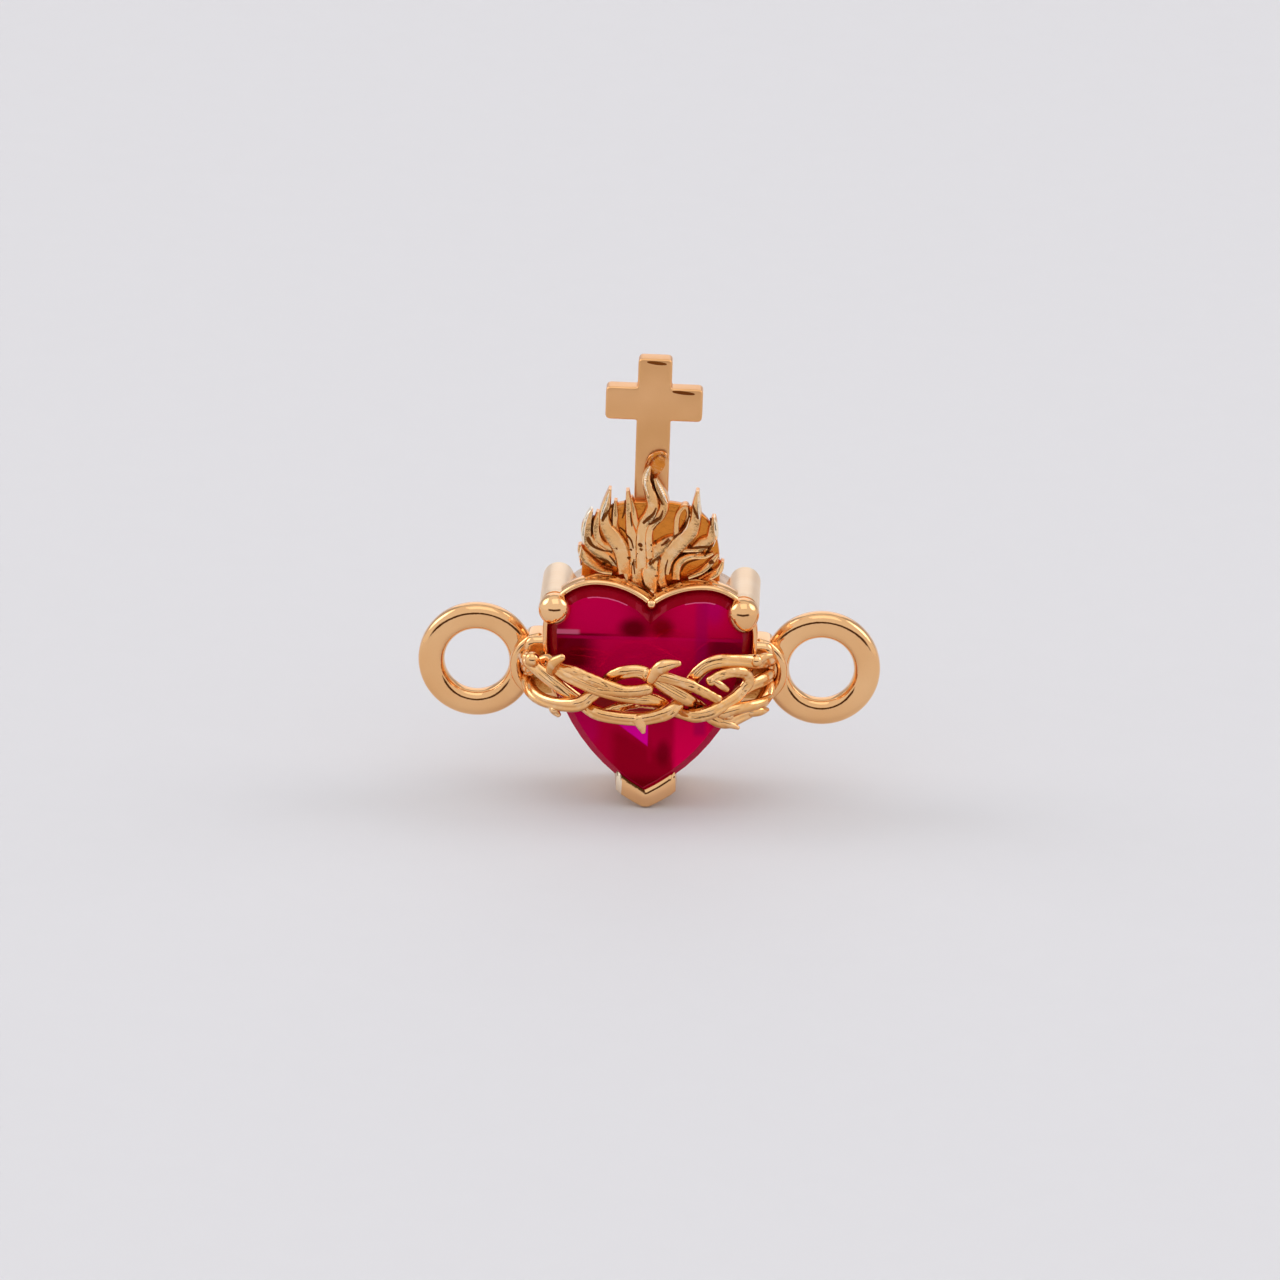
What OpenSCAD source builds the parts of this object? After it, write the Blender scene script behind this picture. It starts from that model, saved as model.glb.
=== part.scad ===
// Sacred heart connector pendant: a heart-cut stone held by two ball-tip prongs and a V-shaped tip prong
// in a gold gallery, with flames and a flat Latin cross above it, a plaited crown of thorns bowed across
// its front and a chain loop on each side. Millimetres, +X right, -Y front, +Z up.
// The design frame has the lobe tops at z = 0 and the front of the girdle at y = 0. The last lines lift
// the whole piece so that its lowest point is at z = 0 and the middle of its depth at y = 0.

/* [Stone] */
// Width of the heart-cut stone across both lobes
stone_w = 5; // [4.6:0.05:5.6]
// Height of the stone from the lobe tops to the tip
stone_h = 5.35; // [5:0.05:5.9]
// Radius of each lobe's outer side
lobe_r = 1.18; // [1.1:0.02:1.3]
// Depth of the notch between the lobes
notch_d = 0.53; // [0.4:0.01:0.6]
// How far below level the lobe arc runs before the straighter side begins, in degrees
side_drop = 0; // [0:1:8]
// Height of the crown facets above the girdle
crown_h = 0.3; // [0.2:0.02:0.42]
// Distance from the girdle to the edge of the flat table
table_in = 0.22; // [0.12:0.02:0.4]
// Thickness of the girdle
girdle_t = 0.12; // [0.06:0.01:0.2]
// Depth of the pavilion behind the girdle
pavilion_h = 2; // [1.7:0.05:2.15]
// Turn of the stone in its seat, clockwise from the front, in degrees
stone_turn = 1.5; // [0:0.25:2.5]

/* [Gallery] */
// Width of the rail outside the girdle
rail_t = 0.14; // [0.1:0.01:0.2]
// Height of the rail's lip in front of the girdle
rail_lip = 0.12; // [0.06:0.01:0.18]
// Depth of the rail behind the front of the girdle
rail_back = 0.5; // [0.36:0.02:0.6]
// Distance of the basket's outer face inside the girdle
basket_in = 0.2; // [0.14:0.02:0.28]
// Wall of the basket
basket_t = 0.35; // [0.25:0.05:0.45]
// Depth of the basket and of the prongs behind the front of the girdle
basket_back = 2.3; // [2.2:0.05:2.6]

/* [Prongs] */
// Radius of each round prong post
post_r = 0.385; // [0.32:0.005:0.42]
// Distance of each post's centre inside the side of the stone
post_in = 0.19; // [0.1:0.01:0.25]
// Distance of each post's centre below the lobe tops
post_drop = 0.53; // [0.46:0.01:0.6]
// Radius of the ball tip on each post
ball_r = 0.4; // [0.38:0.005:0.46]
// Distance of the ball's centre in front of the girdle
ball_front = 0.27; // [0.22:0.01:0.4]
// Thickness of the V-shaped tip prong outside the stone
claw_t = 0.3; // [0.2:0.02:0.4]
// Half width of the tip prong
claw_w = 0.76; // [0.6:0.02:0.9]
// How far the tip prong is bent over the stone's edge
claw_lap = 0.16; // [0.08:0.02:0.24]
// Distance of the tip prong's front face in front of the girdle
claw_front = 0.3; // [0.2:0.02:0.36]
// Radius of the tip prong's outer corners
claw_round = 0.25; // [0.1:0.01:0.28]

/* [Side loops] */
// Bore of each loop
loop_bore = 1.6; // [1.3:0.02:1.64]
// Thickness of the wire that each loop is bent from
wire_d = 0.67; // [0.6:0.01:0.74]
// Flattened thickness of the wire from front to back
wire_flat = 0.56; // [0.44:0.02:0.6]
// How far the wire of each loop is sunk into its lug
loop_sink = 0.3; // [0.2:0.01:0.34]
// Distance of each loop's centre below the lobe tops
loop_drop = 2.3; // [2.1:0.02:2.4]
// Distance of each loop's middle plane behind the front of the girdle
loop_y = 1; // [0.85:0.01:1.1]
// How far each lug's end face stands out from the side of the stone
lug_reach = 0.6; // [0.52:0.02:0.7]
// Height of each lug
lug_h = 1.6; // [1.4:0.05:1.7]
// Distance of the lugs' front face behind the front of the girdle
lug_front = 0.35; // [0.25:0.05:0.45]
// Distance of the lugs' back face behind the front of the girdle
lug_back = 1.45; // [1.35:0.05:1.6]
// How far the collar at each loop bulges out past its lug
collar_out = 0.34; // [0.3:0.01:0.35]
// Thickness of the collar
collar_d = 0.28; // [0.24:0.02:0.3]
// Height of the collar between the middles of its two ends
collar_h = 0.84; // [0.7:0.02:0.9]
// Distance of the collar's front behind the front of the girdle
collar_front = 0.48; // [0.44:0.02:0.52]

/* [Flames] */
// Distance of the flames' raised rims behind the front of the girdle
flame_front = 0.5; // [0.4:0.02:0.6]
// Distance of the flames' flat back behind the front of the girdle
flame_back = 1; // [0.9:0.02:1.1]
// Depth of the hollow between the two rims of a tongue
flame_hollow = 0.13; // [0.05:0.01:0.18]
// Thickness of the plate that carries the tongues
plate_t = 0.24; // [0.16:0.02:0.3]
// Half width of the plate
plate_w = 1.7; // [1.5:0.05:1.8]
// Height of the plate's top above the lobe tops
plate_top = 1.95; // [1.7:0.05:2.1]
// Squareness of the plate's outline: 2 is an ellipse
plate_square = 3; // [2:0.1:4]
// Radius of the rounded tip on each tongue
tip_r = 0.05; // [0.03:0.01:0.07]

/* [Cross] */
// Width of the cross's shaft
shaft_w = 0.83; // [0.7:0.01:0.95]
// Height of the cross's top above the lobe tops
cross_top = 5.53; // [5.2:0.05:6]
// Width of the cross over its arms
arm_span = 2.37; // [2:0.05:2.6]
// Height of the arms from bottom to top
arm_h = 0.83; // [0.7:0.01:0.95]
// Length of the shaft above the arms
head_h = 0.74; // [0.5:0.02:0.9]
// Thickness of the cross
cross_t = 0.5; // [0.4:0.02:0.6]
// Radius of the cross's corners
corner_r = 0.09; // [0.04:0.01:0.14]
// Lean of the cross about the middle of its arms, clockwise from the front, in degrees
cross_lean = 0.8; // [0:0.2:2]

/* [Crown of thorns] */
// Thickness of each main strand
strand_d = 0.28; // [0.24:0.01:0.29]
// Thickness of each side twig
twig_d = 0.2; // [0.14:0.01:0.22]
// Distance of the strands' ends inside the lugs' end faces
bow_in = 0.15; // [0.14:0.01:0.2]
// How far the bow stands in front of the lugs
bow_y = 1.6; // [1.35:0.05:1.8]
// How far the middle of the bow hangs below its ends
bow_dip = 0.05; // [0:0.02:0.2]
// How far one strand stands in front of or behind the bow where it crosses another
over = 0.17; // [0.165:0.005:0.2]

/* [Hidden] */
gold = "#e2a75c";
ruby = "#b4003f";

outline_n = 12; // steps along each long arc of the heart
on_line = 0.000001; // a point nearer the middle line than this lies on it
$fn = 64;

// The heart's outline from the notch: a wide arc up to the top of the lobe, the lobe's own arc, then a
// flatter side arc that ends at the tip. Each arc meets the next one smoothly.
lobe_x = stone_w / 2 - lobe_r;
lobe_c = [lobe_x, -lobe_r];
rise_r = (lobe_x * lobe_x + notch_d * notch_d) / (2 * notch_d);
rise_c = [lobe_x, -rise_r];
notch = [0, -notch_d];
notch_a = acos(-lobe_x / rise_r);
side_n = [cos(side_drop), -sin(side_drop)];
to_lobe = lobe_c - [0, -stone_h];
side_q = (to_lobe * to_lobe - lobe_r * lobe_r) / (2 * (lobe_r + side_n * to_lobe));
side_r = lobe_r + side_q;
side_c = lobe_c - side_q * side_n;
culet = [0, -0.47 * stone_h];
culet_y = girdle_t + pavilion_h;
break_in = 0.48; // share of the way to the culet at which the pavilion's facets break
break_y = 0.66; // share of the pavilion's depth at the same place

loop_z = -loop_drop;
wire_r = wire_d / 2;
bore_r = loop_bore / 2;
ring_r = bore_r + 0.97 * wire_r; // the flat band inside the loop takes the last of the wire's round
post_x = stone_w / 2 - post_in;
lug_out = stone_w / 2 + lug_reach;
loop_x = lug_out - loop_sink + ring_r + wire_r;
bow_x = lug_out - bow_in;
collar_r = collar_d / 2;
collar_bow = collar_out - collar_r; // how far the middle of the collar bows out
collar_ring = (collar_bow * collar_bow + collar_h * collar_h / 4) / (2 * collar_bow);
strand_r = strand_d / 2;
twig_r = twig_d / 2;

tip_a = acos(-side_c[0] / (side_r + claw_t)); // slope of the tip prong's two outer sides
claw_z = side_c[1] - (side_r + claw_t) * sin(tip_a);
lift = -(claw_z + claw_round * (1 / sin(tip_a) - 1));
front_y = lug_front - bow_y - over - strand_r;
mid_y = (front_y + basket_back) / 2;

// Tongues of flame from the trunk to the tip: half width, then the points that the tongue's middle follows,
// all as shares of the plate's half width
tongues = [
    [0.141, [[-0.206, -0.059], [-0.588, 0.029], [-0.853, 0.147], [-1.059, 0.471]]],
    [0.159, [[-0.059, -0.118], [-0.324, 0.147], [-0.647, 0.365], [-0.912, 0.588], [-0.882, 0.988]]],
    [0.159, [[-0.059, 0.059], [-0.294, 0.324], [-0.541, 0.588], [-0.676, 0.882], [-0.618, 1.306]]],
    [0.141, [[-0.029, 0.176], [-0.188, 0.529], [-0.324, 0.853], [-0.365, 1.294]]],
    [0.159, [[0, -0.059], [-0.047, 0.265], [-0.1, 0.647], [0.118, 1.029], [-0.035, 1.471], [0.094, 1.865]]],
    [0.141, [[0.059, 0.118], [0.247, 0.412], [0.353, 0.735], [0.459, 1.012], [0.424, 1.324]]],
    [0.159, [[0, -0.176], [0.029, 0.147], [0.206, 0.388], [0.494, 0.606], [0.671, 0.941], [0.653, 1.329]]],
    [0.153, [[0.118, 0.147], [0.559, 0.294], [0.835, 0.412], [0.918, 0.618], [0.888, 0.918]]],
    [0.129, [[0.147, -0.059], [0.424, 0.059], [0.676, 0.129], [1, 0.306]]]
];

// Routes of the strands: angle round the bow, height above its middle as a share of half a lug's height, and
// place in front of (1) or behind (-1) the bow in steps of over. Each strand passes over its neighbours and
// under them in turn.
route_1 = [[-94, 0.375, 0], [-76, 0.525, 1], [-64, 0.525, 1.3], [-50, 0.15, 0.6], [-34, -0.525, -1],
           [-22, -0.725, 0], [-5, -0.775, 0.3], [4, -0.662, 0.7], [10, -0.487, 1], [14.5, -0.3, 0.2],
           [19, -0.05, -1], [26, 0.625, -0.7], [34, 0.975, 0], [47, 0.925, 0], [64, 0.75, 0.3],
           [94, 0.387, 0]];
route_2 = [[-94, -0.375, 0], [-75, -0.55, 0], [-55, -0.612, 0.3], [-34, -0.462, 1], [-28, -0.187, 0],
           [-22, 0.15, -1], [-16, 0.525, -0.4], [-10, 0.7, 0], [-3, 0.725, 0], [4, 0.525, 0.3],
           [11, 0.25, 0.8], [18.5, -0.062, 1.05], [24, -0.312, -0.4], [29, -0.575, -1], [35, -0.85, -0.4],
           [42, -1, 0], [52, -0.875, 0], [65, -0.75, 0], [94, -0.375, 0]];
route_3 = [[-94, 0, 0], [-80, 0.1, 0], [-70, 0.35, -0.3], [-60, 0.6, -0.9], [-50, 0.587, 0],
           [-36, 0.375, 0.7], [-22, 0.15, 1], [-12, 0, 0.7], [-3, -0.088, 0.3], [4, -0.212, -0.4],
           [11, -0.475, -1.1], [18, -0.65, -0.9], [23, -0.662, 0.6], [29, -0.575, 1], [37, -0.412, 0.6],
           [45, -0.25, 0.3], [54, -0.025, 0], [68, 0.075, 0], [94, 0, 0]];
twig_1 = [[-20, -0.7, 0], [-12, -0.475, -1], [-4, -0.425, -1.9], [4, -0.475, -2.1]];
twig_2 = [[0, 0.675, 0.4], [6, 0.688, 1], [18, 0.437, 1.3], [26, 0.15, 1.3], [34, -0.15, 1]];
twig_3 = [[-44, 0.55, 0.4], [-34, 0.562, 0.7], [-24, 0.425, 1], [-14, 0.25, 1.1]];
curl_3 = [[50, -0.125, 0.2], [55, 0.2, 0.4], [52, 0.5, 0.5], [44, 0.625, 0.6], [36, 0.587, 0.7],
          [30, 0.425, 0.8]];

function unit(v) = v / norm(v);

function spread(c) = sign(c) * pow(abs(c), 2 / plate_square);

function arc(c, r, a, b, n, first = 0) =
    [for (i = [first:n]) c + r * [cos(a + (b - a) * i / n), sin(a + (b - a) * i / n)]];

// Right half of the heart's outline moved out by d, or in where d is negative, from notch to tip. Both of
// its ends lie exactly on the middle line, so that the two halves join without a gap.
function half_outline(d, n = outline_n) = let (
    start = d < 0 ? notch_a : acos(-lobe_x / (rise_r + d)),
    points = concat(
        d < 0 ? arc(notch, -d, 270, 180 + notch_a, 3) : [],
        arc(rise_c, rise_r + d, start, 90, ceil(n / 2), d < 0 ? 1 : 0),
        arc(lobe_c, lobe_r + d, 90, -side_drop, n, 1),
        arc(side_c, side_r + d, -side_drop, -acos(-side_c[0] / (side_r + d)), n, 1))
) [for (p = points) [p[0] < on_line ? 0 : p[0], p[1]]];

function outline(d) = let (h = half_outline(d))
    concat(h, [for (i = [len(h) - 2:-1:1]) [-h[i][0], h[i][1]]]);

function stand(points, y) = [for (p = points) [p[0], y, p[1]]];

// Point at share u of the smooth curve through the given points
function curve(points, u) = let (
    last = len(points) - 1,
    k = min(floor(u * last), last - 1),
    t = u * last - k,
    a = points[max(k - 1, 0)],
    b = points[k],
    c = points[k + 1],
    d = points[min(k + 2, last)]
) 0.5 * (2 * b + (c - a) * t + (2 * a - 5 * b + 4 * c - d) * t * t + (3 * b - a - 3 * c + d) * t * t * t);

function bow(s) = let (
    d = s[2] * over,
    up = s[1] * lug_h / 2 - bow_dip * cos(s[0])
) [(bow_x + d) * sin(s[0]), lug_front - (bow_y + d) * cos(s[0]), loop_z + up];

// Closes rings of points, all of one length, into a solid
module skin(rings) {
    n = len(rings[0]);
    last = len(rings) - 1;
    sides = [for (i = [0:last - 1]) for (k = [0:n - 1]) for (f = [
        [i * n + k, i * n + (k + 1) % n, (i + 1) * n + (k + 1) % n],
        [i * n + k, (i + 1) * n + (k + 1) % n, (i + 1) * n + k]]) f];
    polyhedron(
        points = [for (r = rings) for (p = r) p],
        faces = concat(sides, [[for (k = [n - 1:-1:0]) k]], [[for (k = [0:n - 1]) last * n + k]]));
}

// Heart-shaped slab between two depths, its edge moved out by d
module heart_slab(d, y0, y1) {
    translate([0, y1, 0]) rotate([90, 0, 0]) linear_extrude(y1 - y0) polygon(outline(d));
}

// Turns what follows the stone with it, about the middle of the heart
module in_seat() {
    translate([0, 0, culet[1]]) rotate([0, stone_turn, 0]) translate([0, 0, -culet[1]]) children();
}

module gem_half() {
    rim = half_outline(0);
    inner = [for (p = half_outline(0, 3)) p + break_in * (culet - p)];
    points = concat(
        stand(half_outline(-table_in, 5), -crown_h),
        stand(rim, 0),
        stand(rim, girdle_t),
        stand(inner, girdle_t + break_y * pavilion_h),
        [[0, culet_y, culet[1]]]);
    hull() polyhedron(points = points, faces = [[for (i = [0:len(points) - 1]) i]]);
}

module gem() {
    in_seat() {
        gem_half();
        mirror([1, 0, 0]) gem_half();
    }
}

module at_post(side) {
    translate([side * post_x, basket_back, -post_drop]) rotate([90, 0, 0]) children();
}

module post(side) {
    at_post(side) cylinder(r = post_r, h = basket_back + ball_front);
}

module prong(side) {
    long = basket_back + ball_front;
    color(gold) difference() {
        at_post(side) rotate_extrude() intersection() {
            square([ball_r, long + ball_r]);
            union() {
                square([post_r, long]);
                translate([0, long]) circle(r = ball_r);
            }
        }
        gem();
    }
}

module basket() {
    in_seat() difference() {
        heart_slab(-basket_in, lug_front, basket_back);
        heart_slab(-basket_in - basket_t, lug_front - 1, basket_back + 1);
    }
}

module rail() {
    low = loop_z - lug_h / 2;
    intersection() {
        in_seat() difference() {
            heart_slab(rail_t, -rail_lip, rail_back);
            heart_slab(0, -rail_lip - 1, 0);
            heart_slab(-basket_in - basket_t, -1, rail_back + 1);
        }
        translate([-stone_w, -1, low]) cube([2 * stone_w, 2, stone_w]);
    }
}

module lug_block(side) {
    translate([side > 0 ? stone_w / 4 : -lug_out, lug_front, loop_z - lug_h / 2])
        cube([lug_out - stone_w / 4, lug_back - lug_front, lug_h]);
}

module lug(side) {
    difference() {
        lug_block(side);
        in_seat() heart_slab(-basket_in - basket_t, -1, basket_back + 1);
    }
}

// Collar in front of the place where a loop's wire enters its lug
module collar(side) {
    translate([side * (lug_out + collar_bow - collar_ring), collar_front + collar_r, loop_z])
        rotate([90, 0, 0]) rotate_extrude() translate([collar_ring, 0]) circle(r = collar_r);
}

module loop(side) {
    color(gold) translate([side * loop_x, loop_y, loop_z]) rotate([90, 0, 0])
        rotate_extrude() intersection() {
            translate([ring_r, 0]) circle(r = wire_r);
            translate([bore_r, -wire_flat / 2]) square([wire_d + wire_r, wire_flat]);
        }
}

module tip_prong() {
    color(gold) difference() {
        translate([0, basket_back, 0]) rotate([90, 0, 0]) linear_extrude(basket_back + claw_front)
            offset(r = claw_round) offset(delta = -claw_round) intersection() {
                polygon(outline(claw_t));
                translate([-claw_w, claw_z]) square([2 * claw_w, -claw_z / 3]);
            }
        in_seat() heart_slab(-claw_lap, -claw_front - 1, 0);
        in_seat() heart_slab(-basket_in, 0, basket_back + 1);
        gem();
    }
}

module gallery() {
    color(gold) difference() {
        union() {
            basket();
            rail();
            for (side = [-1, 1]) {
                lug(side);
                collar(side);
            }
        }
        post(-1);
        post(1);
        tip_prong();
        loop(-1);
        loop(1);
        gem();
    }
}

// One tongue of flame: two raised rims with a hollow between them, narrowing to a rounded tip
module tongue(half_w, middle) {
    steps = 9;
    end = curve(middle, 1);
    rings = [for (i = [0:steps]) let (
        u = i / steps,
        c = curve(middle, u),
        t = unit(curve(middle, min(u + 0.02, 1)) - curve(middle, max(u - 0.02, 0))),
        w = half_w * max(0.12, pow(1 - u, 0.8) * (0.75 + 1.5 * u)),
        thin = u * u * (flame_back - flame_front) / 2,
        rim = flame_front + thin,
        low = min(rim + flame_hollow * (1 - u * u), flame_back - tip_r)
    ) [for (s = [[-1, flame_back], [-1, rim + tip_r], [-0.72, rim], [-0.35, low], [0.35, low],
                 [0.72, rim], [1, rim + tip_r], [1, flame_back]])
        [c[0] - t[1] * w * s[0], s[1], c[1] + t[0] * w * s[0]]]];
    skin(rings);
    near = curve(middle, 0.95);
    tip_y = (flame_front + flame_back) / 2 + tip_r;
    hull() {
        translate([near[0], tip_y, near[1]]) sphere(r = tip_r, $fn = 8);
        translate([end[0], tip_y, end[1]]) sphere(r = tip_r, $fn = 8);
    }
}

module flames() {
    color(gold) difference() {
        union() {
            translate([0, flame_back, 0]) rotate([90, 0, 0]) linear_extrude(plate_t)
                polygon([for (a = [0:10:350]) [plate_w * spread(cos(a)), plate_top * spread(sin(a))]]);
            for (f = tongues) tongue(f[0] * plate_w, f[1] * plate_w);
        }
        in_seat() heart_slab(rail_t, -1, rail_back);
        in_seat() heart_slab(-basket_in, 0, basket_back);
    }
}

module cross() {
    arms_z = cross_top - head_h - arm_h / 2;
    color(gold) difference() {
        translate([0, flame_back + cross_t, arms_z]) rotate([90, 0, 0]) linear_extrude(cross_t)
            rotate(-cross_lean) offset(r = corner_r) offset(delta = -corner_r) {
                translate([-shaft_w / 2, culet[1] - arms_z]) square([shaft_w, cross_top - culet[1]]);
                translate([-arm_span / 2, -arm_h / 2]) square([arm_span, arm_h]);
            }
        in_seat() heart_slab(-basket_in, 0, basket_back);
    }
}

// Round wire along a route on the bow
module wire(route, r, steps, sides = 10) {
    skin([for (i = [0:steps]) let (
        u = i / steps,
        s = curve(route, u),
        t = unit(bow(curve(route, min(u + 0.005, 1))) - bow(curve(route, max(u - 0.005, 0)))),
        out = [sin(s[0]), -cos(s[0]), 0],
        b = unit(cross(t, out)),
        n = cross(b, t)
    ) [for (k = [0:sides - 1]) bow(s) + r * (cos(360 * k / sides) * n - sin(360 * k / sides) * b)]]);
}

// Side twig: thinner, and rounded at both ends
module twig(route, steps = 6) {
    for (i = [0:steps - 1]) hull() {
        translate(bow(curve(route, i / steps))) sphere(r = twig_r, $fn = 10);
        translate(bow(curve(route, (i + 1) / steps))) sphere(r = twig_r, $fn = 10);
    }
}

// Thorn from one place on the bow to another, narrowing from r to a third of it
module thorn(from, to, r) {
    hull() {
        translate(bow(from)) sphere(r = r, $fn = 10);
        translate(bow(to)) sphere(r = r / 3, $fn = 8);
    }
}

// Ends a strand flat on the front of the two lugs
module on_lugs() {
    difference() {
        union() children();
        lug_block(-1);
        lug_block(1);
    }
}

module thorn_strand_1() {
    color(gold) on_lugs() {
        wire(route_1, strand_r, 54);
        twig(twig_1);
        thorn([-65, 0.55, 1], [-52, 0.9, 1.4], twig_r);
        thorn([-3, -0.775, 0.3], [-1, -1.15, 0.8], twig_r);
        thorn([62, 0.775, 0.3], [68, 0.95, 1.6], strand_r);
    }
}

module thorn_strand_2() {
    color(gold) on_lugs() {
        wire(route_2, strand_r, 60);
        twig(twig_2);
        thorn([3, 0.625, 0.8], [13, 1.075, 1.6], strand_r);
        thorn([-50, -0.688, 0.3], [-44, -1.075, 0.6], twig_r);
        thorn([39, -0.975, 0], [46, -1.225, 0.8], strand_r);
        thorn([62, -0.775, 0], [70, -1.075, 0.8], twig_r);
    }
}

module thorn_strand_3() {
    color(gold) on_lugs() {
        wire(route_3, strand_r, 60);
        twig(twig_3);
        twig(curl_3, 8);
        thorn([-6, -0.05, 0.5], [0, 0.15, 1.5], twig_r);
    }
}

module placed() {
    translate([0, -mid_y, lift]) children();
}

placed() color(ruby) gem();  // heart_stone
placed() gallery();
placed() prong(-1);  // prong_left
placed() prong(1);  // prong_right
placed() tip_prong();
placed() loop(-1);  // loop_left
placed() loop(1);  // loop_right
placed() flames();
placed() cross();
placed() thorn_strand_1();
placed() thorn_strand_2();
placed() thorn_strand_3();
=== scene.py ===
"""Looks of the sacred heart connector pendant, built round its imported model.

All shapes are worked out in the goldsmith's own frame, in millimetres: the lobe tops of the heart lie at
z = 0, the front of the stone's girdle at y = 0, +X points right and -Y to the front. Solid.build moves
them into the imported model's frame, in metres.
"""
from __future__ import annotations

import logging
import math
from dataclasses import dataclass, field
from enum import Enum
from functools import partial, reduce
from typing import Callable, Iterable, Sequence

import bmesh
import bpy
from mathutils import Matrix, Vector

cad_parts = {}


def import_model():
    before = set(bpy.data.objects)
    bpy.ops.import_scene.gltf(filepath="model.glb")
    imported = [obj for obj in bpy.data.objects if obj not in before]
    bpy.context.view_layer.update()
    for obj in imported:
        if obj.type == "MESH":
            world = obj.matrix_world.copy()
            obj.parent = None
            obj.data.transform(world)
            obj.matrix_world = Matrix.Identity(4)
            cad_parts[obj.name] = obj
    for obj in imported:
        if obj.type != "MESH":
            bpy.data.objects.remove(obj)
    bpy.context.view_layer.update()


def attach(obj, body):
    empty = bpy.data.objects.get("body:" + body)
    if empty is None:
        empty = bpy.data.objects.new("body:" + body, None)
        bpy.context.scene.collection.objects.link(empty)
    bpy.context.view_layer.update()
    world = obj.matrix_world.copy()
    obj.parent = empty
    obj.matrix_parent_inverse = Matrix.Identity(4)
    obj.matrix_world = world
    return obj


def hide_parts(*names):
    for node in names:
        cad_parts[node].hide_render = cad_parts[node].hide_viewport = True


Point = tuple[float, float, float]
Colour = tuple[float, float, float]
Flat = tuple[float, float]
Line = Sequence[Sequence[float]]
Ring = list[Vector]
Object = bpy.types.Object
Material = bpy.types.Material
Node = bpy.types.Node
Socket = bpy.types.NodeSocket
Tree = bpy.types.NodeTree

log = logging.getLogger("pendant")

# A millimetre in metres, and where the goldsmith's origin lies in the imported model's frame, in millimetres
MM = 0.001
ORIGIN = Vector((0.0, -0.37, 5.65841))
# Height of the stone's middle, in its own heights
WAIST = -0.47
FRONT = Vector((0.0, -1.0, 0.0))
# Usual colours of the shared groups' inputs
GOLD = (0.9, 0.6, 0.3)
BROWN = (0.5, 0.2, 0.05)


class Tone(Enum):
    """Place of each finish among a piece's materials. The second holds a painted highlight, the third painted
    shade (on the cross a painted dark reflection), and the fourth the painted shade of the stone's lower
    crown facets.
    """

    BODY = 0
    HIGHLIGHT = 1
    DARK = 2
    GLOW = 3


class Side(Enum):
    """Side of the pendant, seen from the front."""

    LEFT = -1
    RIGHT = 1


def lerp(a: float, b: float, t: float) -> float:
    """Value at share t of the way from a to b."""
    return a + (b - a) * t


def between(a: Flat, b: Flat, t: float) -> Flat:
    """Point at share t of the way from a to b."""
    return lerp(a[0], b[0], t), lerp(a[1], b[1], t)


def ease(t: float) -> float:
    """Smooth step of t, held between 0 and 1."""
    t = min(max(t, 0.0), 1.0)
    return t * t * (3.0 - 2.0 * t)


def curve_at(points: Line, u: float) -> list[float]:
    """Point at share u of the smooth curve through the given points.

    Args:
        points: points of any one length.
        u: share of the way, from 0 to 1.

    Returns:
        The point on the curve.
    """
    last = len(points) - 1
    k = min(int(u * last), last - 1)
    t = u * last - k
    corners = points[max(k - 1, 0)], points[k], points[k + 1], points[min(k + 2, last)]
    return [
        0.5 * (2 * q + (r - p) * t + (2 * p - 5 * q + 4 * r - s) * t * t + (3 * q - p - 3 * r + s) * t ** 3)
        for p, q, r, s in zip(*corners)
    ]


def even(line: list[Flat], n: int) -> list[Flat]:
    """Same line with n points at even steps.

    Args:
        line: the line.
        n: how many points it gets.

    Returns:
        The new line.
    """
    sums = [0.0]
    for p, q in zip(line, line[1:]):
        sums.append(sums[-1] + math.dist(p, q))
    out: list[Flat] = []
    k = 0
    for i in range(n):
        s = sums[-1] * i / (n - 1)
        while k < len(line) - 2 and sums[k + 1] < s:
            k += 1
        out.append(between(line[k], line[k + 1], (s - sums[k]) / max(sums[k + 1] - sums[k], 1e-9)))
    return out


def smoothed(line: list[Flat], radius: float) -> list[Flat]:
    """Same line with its corner rounded, by averaging over a window.

    Args:
        line: the line.
        radius: half the window's length.

    Returns:
        The smoother line, of 200 points.
    """
    fine = even(line, 200)
    window = int(radius / math.dist(fine[0], fine[1]))
    out: list[Flat] = []
    for i in range(len(fine)):
        k = min(window, i, len(fine) - 1 - i)
        part = fine[i - k:i + k + 1]
        out.append((sum(p[0] for p in part) / len(part), sum(p[1] for p in part) / len(part)))
    return out


def rounded(corners: Sequence[Flat], radius: Callable[[int], float], steps: int) -> list[Flat]:
    """Closed outline with its corners rounded.

    Args:
        corners: the outline's corners.
        radius: how far from each corner, by its number, its curve begins.
        steps: steps along each curve.

    Returns:
        The rounded outline.
    """
    out: list[Flat] = []
    for i, p in enumerate(corners):
        c, before, after = Vector(p), Vector(corners[i - 1]), Vector(corners[(i + 1) % len(corners)])
        start, end = (c + (q - c).normalized() * radius(i) for q in (before, after))
        for k in range(steps + 1):
            t = k / steps
            b = start * (1 - t) ** 2 + c * (2 * t * (1 - t)) + end * t * t
            out.append((b.x, b.y))
    return out


def miters(points: Sequence[Flat]) -> Ring:
    """Way out at each point of a counter-clockwise outline that keeps its sides parallel.

    Args:
        points: the outline's points.

    Returns:
        One offset a point, for a distance of 1.
    """
    out: Ring = []
    for i, p in enumerate(points):
        before, after = Vector(points[i - 1]), Vector(points[(i + 1) % len(points)])
        d1, d2 = (Vector(p) - before).normalized(), (after - Vector(p)).normalized()
        n1, n2 = Vector((d1.y, -d1.x)), Vector((d2.y, -d2.x))
        out.append((n1 + n2) / max(1.0 + n1.dot(n2), 0.25))
    return out


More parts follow.
